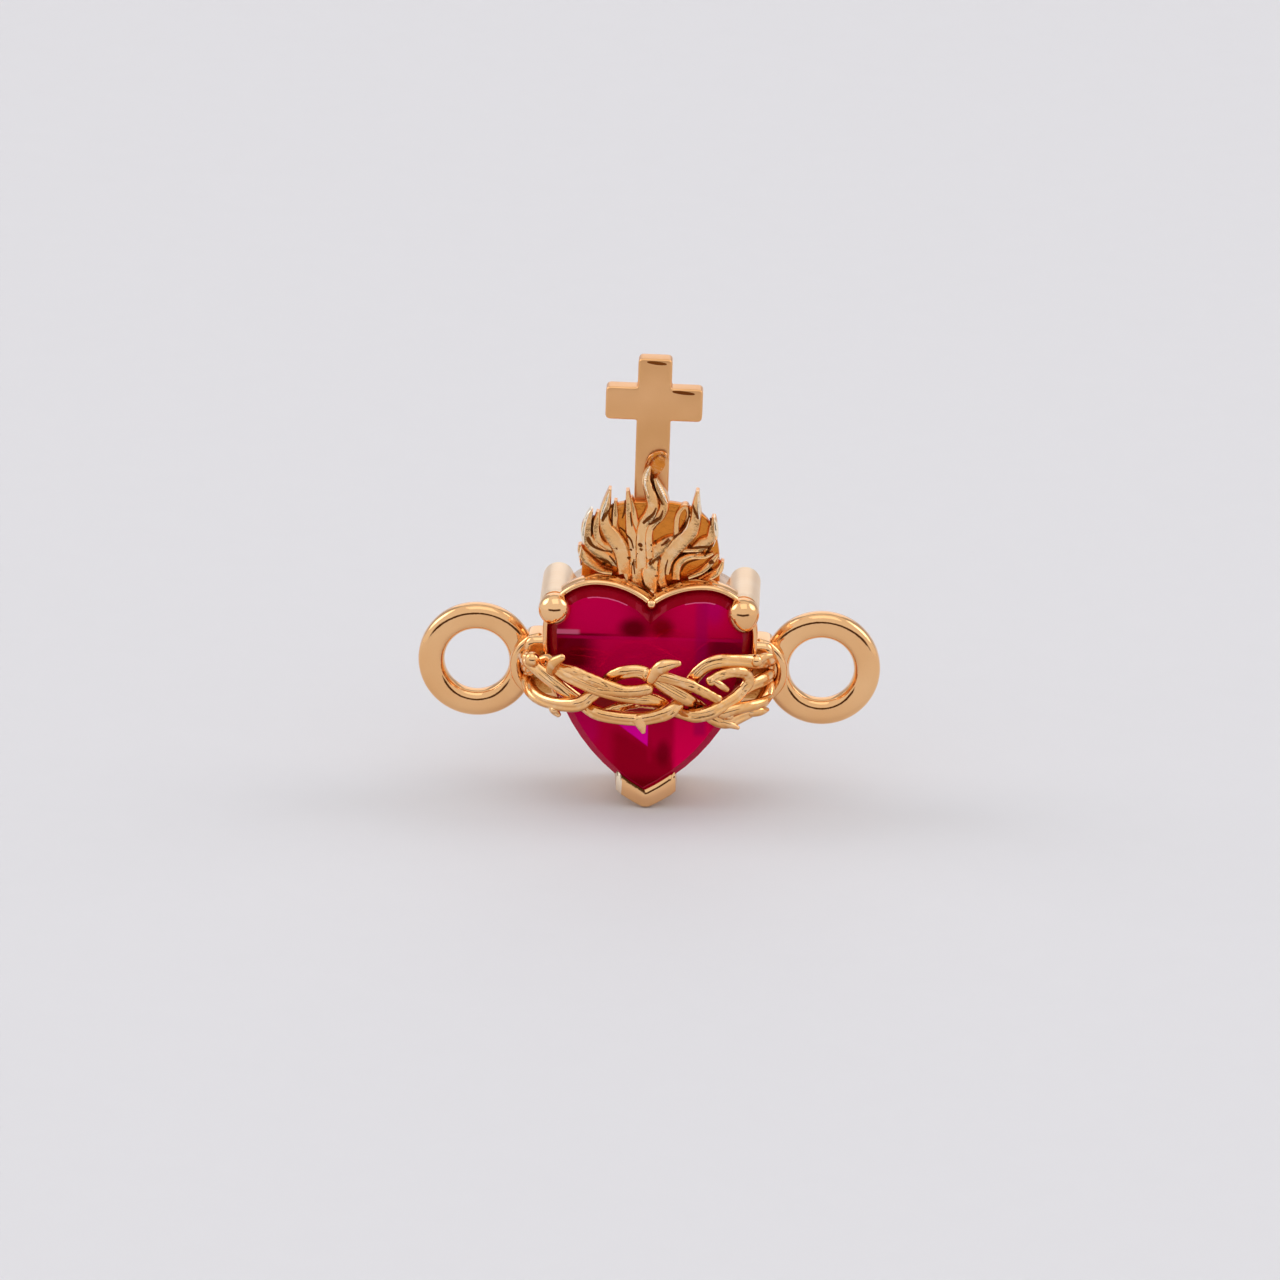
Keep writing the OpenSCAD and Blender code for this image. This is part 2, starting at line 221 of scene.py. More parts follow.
def counter_clockwise(points: list[Flat]) -> list[Flat]:
    """Same outline, turned round where it runs clockwise."""
    area = sum(p[0] * q[1] - q[0] * p[1] for p, q in zip(points, points[1:] + points[:1]))
    return points if area > 0 else points[::-1]


def place(name: str, data: bpy.types.ID) -> Object:
    """Makes an object of a mesh, lamp or camera and links it to the scene.

    Args:
        name: the object's name.
        data: the mesh, lamp or camera.

    Returns:
        The object.
    """
    obj = bpy.data.objects.new(name, data)
    bpy.context.scene.collection.objects.link(obj)
    return obj


@dataclass
class Solid:
    """Points and faces of one piece, in millimetres in the goldsmith's frame."""

    points: Ring = field(default_factory=list)
    faces: list[list[int]] = field(default_factory=list)
    flats: list[bool] = field(default_factory=list)
    tones: list[int] = field(default_factory=list)
    tone: Tone = Tone.BODY

    def add(self, ring: Iterable[Sequence[float]]) -> list[int]:
        """Adds points.

        Args:
            ring: the points.

        Returns:
            The points' numbers.
        """
        start = len(self.points)
        self.points.extend(Vector(p) for p in ring)
        return list(range(start, len(self.points)))

    def face(self, corners: list[int], flat: bool = False) -> None:
        """Adds one face, shaded flat or smooth.

        Args:
            corners: numbers of its points.
            flat: whether it is shaded flat.
        """
        self.faces.append(corners)
        self.flats.append(flat)
        self.tones.append(self.tone.value)

    def skin(self, rings: Sequence[Line], closed: bool = False) -> None:
        """Joins rings of one length into a tube, with flat ends unless it is closed.

        Args:
            rings: the rings in order.
            closed: whether the last ring joins the first.
        """
        rows = [self.add(r) for r in rings]
        for low, high in zip(rows, rows[1:] + rows[:1] if closed else rows[1:]):
            for k in range(len(low)):
                j = (k + 1) % len(low)
                self.face([low[k], low[j], high[j], high[k]])
        if not closed:
            self.face(rows[0][::-1], True)
            self.face(rows[-1], True)

    def tube(self, line: Ring, radius: Callable[[float], float], sides: int = 16,
             section: Callable[[float, float], float] | None = None, squash: float = 1.0) -> None:
        """Sweeps a round section along a line and rounds both of its ends.

        Args:
            line: points along the middle.
            radius: radius at share u of the line.
            sides: points round the section.
            section: factor on the radius at share u and angle in radians.
            squash: factor on the section's thickness towards the front.
        """
        last = len(line) - 1
        rings: list[Ring] = []
        for i, p in enumerate(line):
            u = i / last
            along = (line[min(i + 1, last)] - line[max(i - 1, 0)]).normalized()
            up = FRONT - along * FRONT.dot(along)
            up = up.normalized() if up.length >= 1e-4 else Vector((1.0, 0.0, 0.0))
            side = along.cross(up)
            ring: Ring = []
            for k in range(sides):
                a = 2 * math.pi * k / sides
                r = radius(u) * (section(u, a) if section else 1.0)
                ring.append(p + side * (math.cos(a) * r) + up * (math.sin(a) * r * squash))
            rings.append(ring)
        for end, inner in ((0, 1), (-1, -2)):
            out, r = (line[end] - line[inner]).normalized(), radius(-end)
            extra: list[Ring] = []
            for a in map(math.radians, (30, 58, 80)):
                bulge = out * (r * math.sin(a) * 0.85)
                extra.append([line[end] + (q - line[end]) * math.cos(a) + bulge for q in rings[end]])
            rings = rings + extra if end else extra[::-1] + rings
        self.skin(rings)

    def ball(self, centre: Vector, radius: float, rows: int = 16) -> None:
        """Adds a round bead.

        Args:
            centre: middle of the bead.
            radius: its radius.
            rows: steps from pole to pole.
        """
        rings: list[Ring] = []
        for i in range(rows + 1):
            a = lerp(-88.0, 88.0, i / rows) * math.pi / 180
            ring: Ring = []
            for k in range(rows * 2):
                t = math.pi * k / rows
                toward = Vector((math.cos(a) * math.cos(t), math.sin(a), -math.cos(a) * math.sin(t)))
                ring.append(centre + toward * radius)
            rings.append(ring)
        self.skin(rings)

    def slab(self, outline: list[Flat], front: float, back: float, bevel: float, steps: int = 4) -> None:
        """Stands an outline up as a plate with rounded edges.

        Args:
            outline: points in X and Z.
            front: depth of the front face.
            back: depth of the back face.
            bevel: radius of the rounded edges.
            steps: steps round each edge.
        """
        outline = counter_clockwise(outline)
        turns = [math.radians(90 * i / steps) for i in range(steps + 1)]
        edges = [(bevel * (1 - math.sin(a)), back - bevel * (1 - math.cos(a))) for a in turns]
        edges += [(bevel * (1 - math.cos(a)), front + bevel * (1 - math.sin(a))) for a in turns]
        pairs = list(zip(outline, miters(outline)))
        self.skin([[(p[0] - m.x * inset, y, p[1] - m.y * inset) for p, m in pairs] for inset, y in edges])

    def build(self, name: str, angle: float = 40.0) -> Object:
        """Makes the Blender object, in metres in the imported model's frame.

        Args:
            name: the object's name.
            angle: edges sharper than this stay crisp, in degrees.

        Returns:
            The object, linked to the scene.
        """
        mesh = bpy.data.meshes.new(name)
        bm = bmesh.new()
        verts = [bm.verts.new((p + ORIGIN) * MM) for p in self.points]
        for corners, flat, tone in zip(self.faces, self.flats, self.tones):
            face = bm.faces.new([verts[i] for i in corners])
            face.smooth = not flat
            face.material_index = tone
        bmesh.ops.recalc_face_normals(bm, faces=bm.faces)
        bmesh.ops.triangulate(bm, faces=[f for f in bm.faces if len(f.verts) > 4])
        bm.to_mesh(mesh)
        bm.free()
        mesh.set_sharp_from_angle(angle=math.radians(angle))
        return place(name, mesh)


@dataclass
class Nodes:
    """Short calls for building one node tree."""

    tree: Tree

    def put(self, socket: Socket, value: object) -> None:
        """Links a socket to another, or gives it a number, a vector or an RGB colour.

        Args:
            socket: the input socket.
            value: what it is linked to or given.
        """
        if isinstance(value, Socket):
            self.tree.links.new(value, socket)
        else:
            socket.default_value = (*value, 1.0) if socket.type == "RGBA" else value

    def fill(self, node: Node, **values: object) -> Node:
        """Sets a node's properties and its sockets.

        Args:
            node: the node.
            values: properties, or sockets by name with spaces as underscores.

        Returns:
            The same node.
        """
        for key, value in values.items():
            if hasattr(node, key):
                setattr(node, key, value)
            else:
                self.put(node.inputs[key.replace("_", " ")], value)
        return node

    def add(self, kind: str, **values: object) -> Node:
        """Adds a shader node and fills it."""
        return self.fill(self.tree.nodes.new("ShaderNode" + kind), **values)

    def math(self, operation: str, a: Socket, b: Socket | float) -> Socket:
        """Result of a math node on a socket and a socket or number.

        Args:
            operation: what the node does.
            a: the first value.
            b: the second one.

        Returns:
            Its output.
        """
        node = self.add("Math", operation=operation)
        self.put(node.inputs[0], a)
        self.put(node.inputs[1], b)
        return node.outputs[0]

    def product(self, values: Sequence[Socket]) -> Socket:
        """Product of all the values."""
        return reduce(lambda a, b: self.math("MULTIPLY", a, b), values)

    def mix(self, factor: Socket, a: Socket | Colour, b: Socket | Colour) -> Socket:
        """Mix of two colours.

        Args:
            factor: share of the second colour.
            a: the first colour.
            b: the second colour.

        Returns:
            The mixed colour.
        """
        node = self.add("Mix", data_type="RGBA")
        for number, value in ((0, factor), (6, a), (7, b)):
            self.put(node.inputs[number], value)
        return node.outputs[2]

    def span(self, value: Socket, start: Socket | float, end: Socket | float,
             kind: str = "SMOOTHSTEP") -> Socket:
        """How far a value has come from start to end, from 0 to 1."""
        return self.add("MapRange", clamp=True, interpolation_type=kind, Value=value, From_Min=start,
                        From_Max=end).outputs["Result"]

    def dot(self, vector: Socket, facing: Vector) -> Socket:
        """How far a vector reaches in a direction.

        Args:
            vector: the vector.
            facing: the direction, of length 1.

        Returns:
            The reach.
        """
        node = self.add("VectorMath", operation="DOT_PRODUCT", Vector=vector)
        node.inputs[1].default_value = facing
        return node.outputs["Value"]

    def part(self, vector: Socket, axis: str) -> Socket:
        """Part X, Y or Z of a vector."""
        return self.add("SeparateXYZ", Vector=vector).outputs[axis]

    def noise(self, vector: Socket, scale: float, detail: float, roughness: float = 0.5,
              warp: float = 0.0) -> Socket:
        """Value of a noise texture."""
        return self.add("TexNoise", Vector=vector, Scale=scale, Detail=detail, Roughness=roughness,
                        Distortion=warp).outputs["Fac"]

    def group(self, tree: Tree, **values: object) -> Sequence[Socket]:
        """Outputs of a shared group that is given these values."""
        return self.add("Group", node_tree=tree, **values).outputs

    def here(self) -> Socket:
        """Place on the surface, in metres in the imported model's frame."""
        return self.add("TexCoord").outputs["Object"]


def new_group(name: str, given: dict[str, float | Colour], made: Sequence[str] = ("Color",)) -> tuple:
    """Starts a shader node group.

    Args:
        name: the group's name.
        given: name and usual value of each input.
        made: names of the outputs, of which Color is a colour and the others are values.

    Returns:
        The helper of its tree, its inputs and its outputs.
    """
    tree = bpy.data.node_groups.new(name, "ShaderNodeTree")
    nodes = Nodes(tree)
    for label, value in given.items():
        kind = "NodeSocketColor" if isinstance(value, tuple) else "NodeSocketFloat"
        socket = tree.interface.new_socket(name=label, in_out="INPUT", socket_type=kind)
        socket.default_value = (*value, 1.0) if isinstance(value, tuple) else value
    for label in made:
        kind = "NodeSocketColor" if label == "Color" else "NodeSocketFloat"
        tree.interface.new_socket(name=label, in_out="OUTPUT", socket_type=kind)
    return nodes, tree.nodes.new("NodeGroupInput").outputs, tree.nodes.new("NodeGroupOutput").inputs


def cast_skin_group() -> Tree:
    """Group for the soft orange peel and colour drift of cast and polished gold.

    Returns:
        The group, with outputs Color, Roughness and Height.
    """
    n, given, made = new_group(
        "cast_skin", {"Scale": 1.0, "Light": GOLD, "Deep": (0.7, 0.35, 0.12), "Gloss": 0.14, "Spread": 0.06},
        ("Color", "Roughness", "Height"))
    sized = n.add("VectorMath", operation="SCALE", Vector=n.here(), Scale=given["Scale"]).outputs[0]
    broad = n.noise(sized, 620.0, 2.0)
    fine = n.noise(sized, 5200.0, 3.0, 0.55)
    drift = n.math("MULTIPLY", n.math("SUBTRACT", broad, 0.3), 2.2)
    drift.node.use_clamp = True
    n.put(made["Color"], n.mix(drift, given["Deep"], given["Light"]))
    n.put(made["Roughness"], n.math("ADD", n.math("MULTIPLY", fine, given["Spread"]), given["Gloss"]))
    n.put(made["Height"], n.math("ADD", n.math("MULTIPLY", broad, 0.7), fine))
    return n.tree


def hollow_shade_group() -> Tree:
    """Group that paints shade into a colour in hollows and paints a highlight on sharp edges.

    Returns:
        The group, with output Color.
    """
    n, given, made = new_group(
        "hollow_shade_and_edge_highlight", {"Color": GOLD, "Hollow": BROWN, "Edge": (1.0, 0.8, 0.6), "Amount": 1.0})
    shape = n.add("NewGeometry").outputs["Pointiness"]
    colour = given["Color"]
    # Painted shade where the surface curves in, painted highlight where it is sharp
    for tint, start, end in (("Hollow", 0.49, 0.4), ("Edge", 0.53, 0.62)):
        share = n.math("MULTIPLY", n.span(shape, start, end, "LINEAR"), given["Amount"])
        colour = n.mix(share, colour, given[tint])
    n.put(made["Color"], colour)
    return n.tree


def depth_group() -> Tree:
    """Group that paints shade: it passes from one colour to another with the depth behind the front.

    Returns:
        The group, with output Color.
    """
    n, given, made = new_group("depth_shade", {"Color": GOLD, "Far": BROWN, "From": 0.0, "To": 0.001})
    reach = n.span(n.part(n.here(), "Y"), given["From"], given["To"])
    n.put(made["Color"], n.mix(reach, given["Color"], given["Far"]))
    return n.tree


def under_group() -> Tree:
    """Group that paints shade into a colour on surfaces that face down.

    Returns:
        The group, with output Color.
    """
    n, given, made = new_group("under_shade", {"Color": GOLD, "Under": BROWN, "Amount": 1.0})
    down = n.span(n.part(n.add("NewGeometry").outputs["Normal"], "Z"), 0.15, -0.85)
    n.put(made["Color"], n.mix(n.math("MULTIPLY", down, given["Amount"]), given["Color"], given["Under"]))
    return n.tree


@dataclass
class Groups:
    """The shared shader groups."""

    skin: Tree = field(default_factory=cast_skin_group)
    hollows: Tree = field(default_factory=hollow_shade_group)
    depth: Tree = field(default_factory=depth_group)
    under: Tree = field(default_factory=under_group)


def new_material(name: str, **values: object) -> tuple[Material, Nodes, Node]:
    """Starts a material and fills its shader.

    Args:
        name: the material's name.
        values: the shader's sockets by name.

    Returns:
        The material, the helper of its tree and its shader.
    """
    mat = bpy.data.materials.new(name)
    mat.use_nodes = True
    nodes = Nodes(mat.node_tree)
    return mat, nodes, nodes.fill(mat.node_tree.nodes["Principled BSDF"], **values)


@dataclass(frozen=True)
class GoldFinish:
    """One finish of the warm gold. Reach gives the depths in mm between which it turns to far, a painted
    shade.
    """

    name: str
    light: Colour = (0.95, 0.575, 0.285)
    deep: Colour = (0.87, 0.48, 0.21)
    # Colours of the painted shade in hollows and under things, of the painted highlight on sharp edges, and
    # of the painted shade far behind the front
    hollow: Colour = (0.52, 0.16, 0.03)
    edge: Colour = (0.98, 0.66, 0.36)
    far: Colour = (0.62, 0.2, 0.02)
    reach: Flat | None = None
    gloss: float = 0.05
    spread: float = 0.06
    bump: float = 0.12
    scale: float = 1.0
    # Strength of the painted shade and highlight in hollows and on edges, and of the painted shade on faces
    # that look down
    amount: float = 0.0
    under: float = 0.0

    def make(self, groups: Groups) -> Material:
        """Builds the material.

        Args:
            groups: the shared shader groups.

        Returns:
            The material.
        """
        mat, n, shader = new_material(self.name, Metallic=1.0)
        surface = n.group(groups.skin, Scale=self.scale, Light=self.light, Deep=self.deep, Gloss=self.gloss,
                          Spread=self.spread)
        colour = surface["Color"]
        # Painted shade with depth, on faces that look down and in hollows, and painted highlight on sharp
        # edges
        if self.reach:
            start, end = ((depth + ORIGIN.y) * MM for depth in self.reach)
            colour = n.group(groups.depth, Color=colour, Far=self.far, From=start, To=end)[0]
        if self.under:
            colour = n.group(groups.under, Color=colour, Under=self.hollow, Amount=self.under)[0]
        colour = n.group(groups.hollows, Color=colour, Hollow=self.hollow, Edge=self.edge,
                         Amount=self.amount)[0]
        bump = n.add("Bump", Strength=self.bump, Distance=0.00002, Height=surface["Height"])
        n.fill(shader, Base_Color=colour, Roughness=surface["Roughness"], Normal=bump.outputs["Normal"])
        return mat


@dataclass(frozen=True)
class Facet:
    """One patch of another tint that paints the light and shade inside the stone, bounded by straight or
    round edges.

    Each side is the place in mm that it passes, the direction in degrees that it faces and its softness in
    mm. A round patch has a middle and two radii in place of sides.
    """

    tint: Colour
    strength: float
    sides: tuple[tuple[float, float, float, float], ...] = ()
    middle: Flat | None = None
    radii: Flat = (1.0, 1.0)

    def mask(self, n: Nodes, here: Socket) -> Socket:
        """Mask of the patch over the stone.

        Args:
            n: helper of the material's tree.
            here: the surface's place, in metres.

        Returns:
            Socket that is 1 inside the patch and 0 outside.
        """
        if self.middle:
            (x, z), (wide, high) = self.middle, self.radii
            spot = n.add("Mapping", vector_type="TEXTURE", Vector=here, Scale=(wide * MM, 1.0, high * MM),
                         Location=(x * MM, 0.0, (z + ORIGIN.z) * MM))
            glow = n.add("TexGradient", gradient_type="SPHERICAL", Vector=spot.outputs[0])
            return n.span(glow.outputs["Fac"], 0.0, 0.75)
        inside: list[Socket] = []
        for x, z, angle, soft in self.sides:
            a = math.radians(angle)
            facing = Vector((math.cos(a), 0.0, math.sin(a)))
            edge = facing.dot(Vector((x * MM, 0.0, (z + ORIGIN.z) * MM)))
            inside.append(n.span(n.dot(here, facing), edge + soft * MM / 2, edge - soft * MM / 2))
        return n.product(inside)


@dataclass(frozen=True)
class RubyFinish:
    """Polished deep red stone, with painted patches of the light and shade that its back facets throw
    forward.
    """

    name: str = "ruby_polished"
    body: Colour = (0.52, 0.0, 0.035)
    silk: Colour = (0.6, 0.0, 0.045)
    sheen: Colour = (1.0, 0.0, 0.1)
    index: float = 1.5
    clear: float = 0.12
    facets: tuple[Facet, ...] = ()

    def make(self) -> Material:
        """Builds the material.

        Returns:
            The material.
        """
        mat, n, shader = new_material(self.name, IOR=self.index, Transmission_Weight=self.clear,
                                      Roughness=0.03, Specular_Tint=self.sheen)
        here = n.here()
        colour = n.mix(n.noise(here, 900.0, 3.0, 0.55, 0.6), self.body, self.silk)
        for facet in self.facets:
            colour = n.mix(n.math("MULTIPLY", facet.mask(n, here), facet.strength), colour, facet.tint)
        n.fill(shader, Base_Color=colour)
        return mat


@dataclass(frozen=True)
class PaperFinish:
    """Matte white paper of the sweep that the pendant stands on."""

    name: str = "white_sweep"
    colour: Colour = (0.705, 0.696, 0.705)

    def make(self) -> Material:
        """Builds the material with a faint tooth.

        Returns:
            The material.
        """
        mat, n, shader = new_material(self.name, Roughness=0.75, Specular_IOR_Level=0.2)
        faint = tuple(c * 0.985 for c in self.colour)
        n.fill(shader, Base_Color=n.mix(n.noise(n.here(), 900.0, 3.0), faint, self.colour))
        return mat


@dataclass(frozen=True)
class Heart:
    """Outline of the stone: rise from the notch, round lobe, long side, and the same mirrored."""

    width: float = 5.0
    height: float = 5.35
    lobe: float = 1.18
    notch: float = 0.53
    turn: float = 1.5

    def arcs(self) -> list[Point]:
        """Arcs of the right half, from notch to tip.

        Returns:
            X and Z of each arc's centre and its radius.
        """
        lobe_x = self.width / 2 - self.lobe
        rise = (lobe_x ** 2 + self.notch ** 2) / (2 * self.notch)
        tx, tz = lobe_x, self.height - self.lobe
        q = (tx * tx + tz * tz - self.lobe ** 2) / (2 * (self.lobe + tx))
        return [(lobe_x, -rise, rise), (lobe_x, -self.lobe, self.lobe),
                (lobe_x - q, -self.lobe, self.lobe + q)]

    def half(self, d: float, n: int = 24) -> list[Flat]:
        """Right half of the outline moved out by d, from notch to tip.

        Args:
            d: distance outwards.
            n: steps along each arc.

        Returns:
            Points in X and Z.
        """
        out: list[Flat] = []
        for i, (cx, cz, r) in enumerate(self.arcs()):
            # The first arc starts and the last one ends on the middle line
            middle = math.degrees(math.acos(max(-1.0, min(1.0, -cx / (r + d)))))
            a0, a1 = ((middle, 90.0), (90.0, 0.0), (0.0, -middle))[i]
            steps = n if i else max(n // 2, 2)
            for k in range(min(i, 1), steps + 1):
                a = math.radians(lerp(a0, a1, k / steps))
                out.append((cx + (r + d) * math.cos(a), cz + (r + d) * math.sin(a)))
        return out

    def outline(self, d: float, n: int = 24) -> list[Flat]:
        """Whole outline moved out by d."""
        right = self.half(d, n)
        return right + [(-x, z) for x, z in right[-2:0:-1]]

    def seat(self, p: Sequence[float]) -> Vector:
        """Turns a point with the stone in its seat.

        Args:
            p: the point.

        Returns:
            The turned point.
        """
        middle = WAIST * self.height
        a = math.radians(self.turn)
        x, z = p[0], p[2] - middle
        return Vector((x * math.cos(a) + z * math.sin(a), p[1], middle - x * math.sin(a) + z * math.cos(a)))


@dataclass
class Stone:
    """Heart-cut stone: a large flat table, narrow crown facets, a thin girdle and a two-step pavilion."""

    heart: Heart
    table_in: float = 0.22
    crown: float = 0.3
    girdle: float = 0.12
    pavilion: float = 2.0
    break_in: float = 0.48
    break_depth: float = 0.66
    steps: int = 12

    def ring(self, d: float, y: float, pull: float = 0.0) -> Ring:
        """Outline moved out by d at a depth, drawn towards the culet by a share."""
        low = WAIST * self.heart.height
        return [self.heart.seat((lerp(x, 0.0, pull), y, lerp(z, low, pull)))
                for x, z in self.heart.outline(d, self.steps)]

    def tone(self, row: int, spot: Vector) -> Tone:
        """Tone of a facet: a painted highlight line over the lobes, then the crown facets in darker copies of
        the ruby as painted shade, then the rest.

        Args:
            row: row of facets, from the table back.
            spot: the facet's first corner.

        Returns:
            The tone.
        """
        if row == 0:
            return Tone.HIGHLIGHT if spot.z > -0.5 and 0.65 < abs(spot.x) < 1.6 else Tone.BODY
        if row == 1:
            return Tone.DARK if spot.z > -2.6 else Tone.GLOW
        return Tone.BODY

    def make(self) -> Object:
        """Builds the stone.

        Returns:
            The stone.
        """
        solid = Solid()
        low = self.girdle + self.break_depth * self.pavilion
        culet = self.girdle + self.pavilion - 0.02
        sizes = ((-self.table_in - 0.02, -self.crown), (-self.table_in + 0.005, -self.crown + 0.008),
                 (-0.008, -0.012), (0.0, 0.0), (0.0, self.girdle), (0.0, low, self.break_in),
                 (0.0, culet, 0.985))
        rows = [solid.add(self.ring(*size)) for size in sizes]
        solid.face(rows[0], True)
        for i, (front, back) in enumerate(zip(rows, rows[1:])):
            for k in range(len(front)):
                j = (k + 1) % len(front)
                solid.tone = self.tone(i, solid.points[front[k]])
                solid.face([front[k], front[j], back[j], back[k]], True)
        solid.face(rows[-1][::-1], True)
        return solid.build("heart_cut_stone", angle=5)


@dataclass
class Loops:
    """The two chain loops, each of round wire flattened at the front and back."""

    centre: float = 4.26
    drop: float = 2.3
    depth: float = 1.0
    bore: float = 0.8
    wide: float = 0.335
    deep: float = 0.28
    square: float = 2.7
    turns: int = 160
    sides: int = 40

    def make(self, side: Side) -> Object:
        """Builds one loop.

        Args:
            side: which side of the pendant.

        Returns:
            The loop.
        """
        power, wide = 2.0 / self.square, 0.97 * self.wide
        section: list[Flat] = []
        for k in range(self.sides):
            t = 2 * math.pi * k / self.sides
            u, v = (math.copysign(abs(c) ** power, c) for c in (math.cos(t), math.sin(t)))
            section.append((self.bore + wide + u * wide, self.depth + v * self.deep))
        rings: list[list[Point]] = []
        for i in range(self.turns):
            a = 2 * math.pi * i / self.turns
            rings.append([(side.value * self.centre + r * math.cos(a), y, -self.drop + r * math.sin(a))
                          for r, y in section])
        solid = Solid()
        solid.skin(rings, closed=True)
        return solid.build(f"chain_loop_{side.name.lower()}")


@dataclass
class Prongs:
    """The two round prong posts with their melted ball tips."""

    post: float = 0.385
    x: float = 2.31
    drop: float = 0.53
    ball: float = 0.4
    front: float = 0.27
    back: float = 2.3
    sag: float = 0.1
    sides: int = 48

    def profile(self) -> list[Flat]:
        """Outline of a post with its ball, from the back end along the fine ridges.

        Returns:
            Radius and depth of each ring.
        """
        r, back = self.post, self.back
        out = [(0.02, back), (r - 0.06, back), (r - 0.018, back - 0.018), (r, back - 0.06)]
        out += [(r + 0.002 * math.cos(45 * i), 2.2 - 0.035 * i) for i in range(57)]
        out += [(r - 0.012, 0.12), (r - 0.03, 0.05), (r - 0.02, 0.0)]
        turns = [math.radians(lerp(140, 2, i / 14)) for i in range(15)]
        bead = [(self.ball * math.sin(a), -self.front - self.ball * math.cos(a)) for a in turns]
        return out + [p for p in bead if p[1] < 0.0]

    def make(self, side: Side) -> Object:
        """Builds one post with its ball, which sags a little on the right.

        Args:
            side: which side of the pendant.

        Returns:
            The prong.
        """
        profile = self.profile()
        sag = self.sag if side is Side.RIGHT else 0.0
        rings: list[list[Point]] = []
        for r, y in profile:
            ring: list[Point] = []
            for k in range(self.sides):
                a = 2 * math.pi * k / self.sides
                low = max(0.0, -math.sin(a)) ** 3 * sag * ease(-y / 0.2) * min(1.0, r / self.ball)
                ring.append((side.value * self.x + r * math.cos(a), y, -self.drop + r * math.sin(a) - low))
            rings.append(ring)
        solid = Solid()
        solid.skin(rings)
        # Painted highlight: the posts and their back ends take the second finish, a near-white gold standing
        # for the bright reflection of the lamps
        post_highlight = self.sides * next(i for i, (_, y) in enumerate(profile) if y < 0.1)
        solid.tones[:post_highlight] = [Tone.HIGHLIGHT.value] * post_highlight
        solid.tones[-2] = Tone.HIGHLIGHT.value
        return solid.build(f"ball_prong_{side.name.lower()}", angle=60)


@dataclass
class TipClaw:
    """The V-shaped prong that holds the stone's tip, with a painted highlight at its left end."""

    heart: Heart
    wall: float = 0.3
    half_width: float = 0.76
    lap: float = 0.16
    front: float = 0.3
    back: float = 2.3
    corner: float = 0.16
    end_soft: float = 0.06
    steps: int = 60

    def edge(self, d: float, short: float = 0.01) -> list[Flat]:
        """Lower edge of the heart moved out by d, from left to right, ending short of the half width."""
        right = [p for p in self.heart.half(d, 90) if p[1] < -3.0 and p[0] < self.half_width - short]
        return [(-x, z) for x, z in right] + right[-2::-1]

    def ring(self, outer: Flat, lip: Flat, stone: Flat, wall: Flat, soft: float) -> Ring:
        """Section across the claw.

        Args:
            outer: place of the outer wall.
            lip: place of the lip over the stone.
            stone: place of the stone's seat.
            wall: place of the basket's wall.
            soft: how far the end of the claw is rounded back.

        Returns:
            The section's points, those at the stone being turned with it.
        """
        front, back = soft - self.front, self.back
        lap = ((0.0, 0.09), (0.06, 0.03), (0.16, 0.0), (0.7, 0.012), (0.92, 0.04))
        outside = [(outer, back - 0.05), (outer, 0.6), (outer, 0.0)]
        outside += [(between(outer, lip, t), front + y) for t, y in lap]
        seat = [(lip, front + 0.1), (lip, -0.06), (stone, 0.0)]
        inside = [(stone, 0.12), (wall, 0.3), (wall, back - 0.05)]
        inside += [(between(wall, outer, t), back) for t in (0.15, 0.85)]
        points = [Vector((p[0], y, p[1])) for p, y in outside + seat + inside]
        return points[:8] + [self.heart.seat(p) for p in points[8:11]] + points[11:]

    def make(self) -> Object:
        """Builds the claw.

        Returns:
            The claw.
        """
        lines = (smoothed(self.edge(self.wall, 0.0), self.corner), self.edge(-self.lap, 0.02), self.edge(0.0),
                 self.edge(-0.2))
        rows = zip(*(even(line, self.steps + 1) for line in lines))
        solid = Solid()
        solid.skin([self.ring(*row, self.end_soft * (1 - ease(min(i, self.steps - i) / 5)))
                    for i, row in enumerate(rows)])
        # Painted highlight on the front faces at the left end of the claw
        for i, corners in enumerate(solid.faces):
            spot = sum((solid.points[k] for k in corners), Vector()) / len(corners)
            if spot.x < 0.16 - self.half_width and spot.y < -0.12:
                solid.tones[i] = Tone.HIGHLIGHT.value
        return solid.build("tip_claw", angle=50)


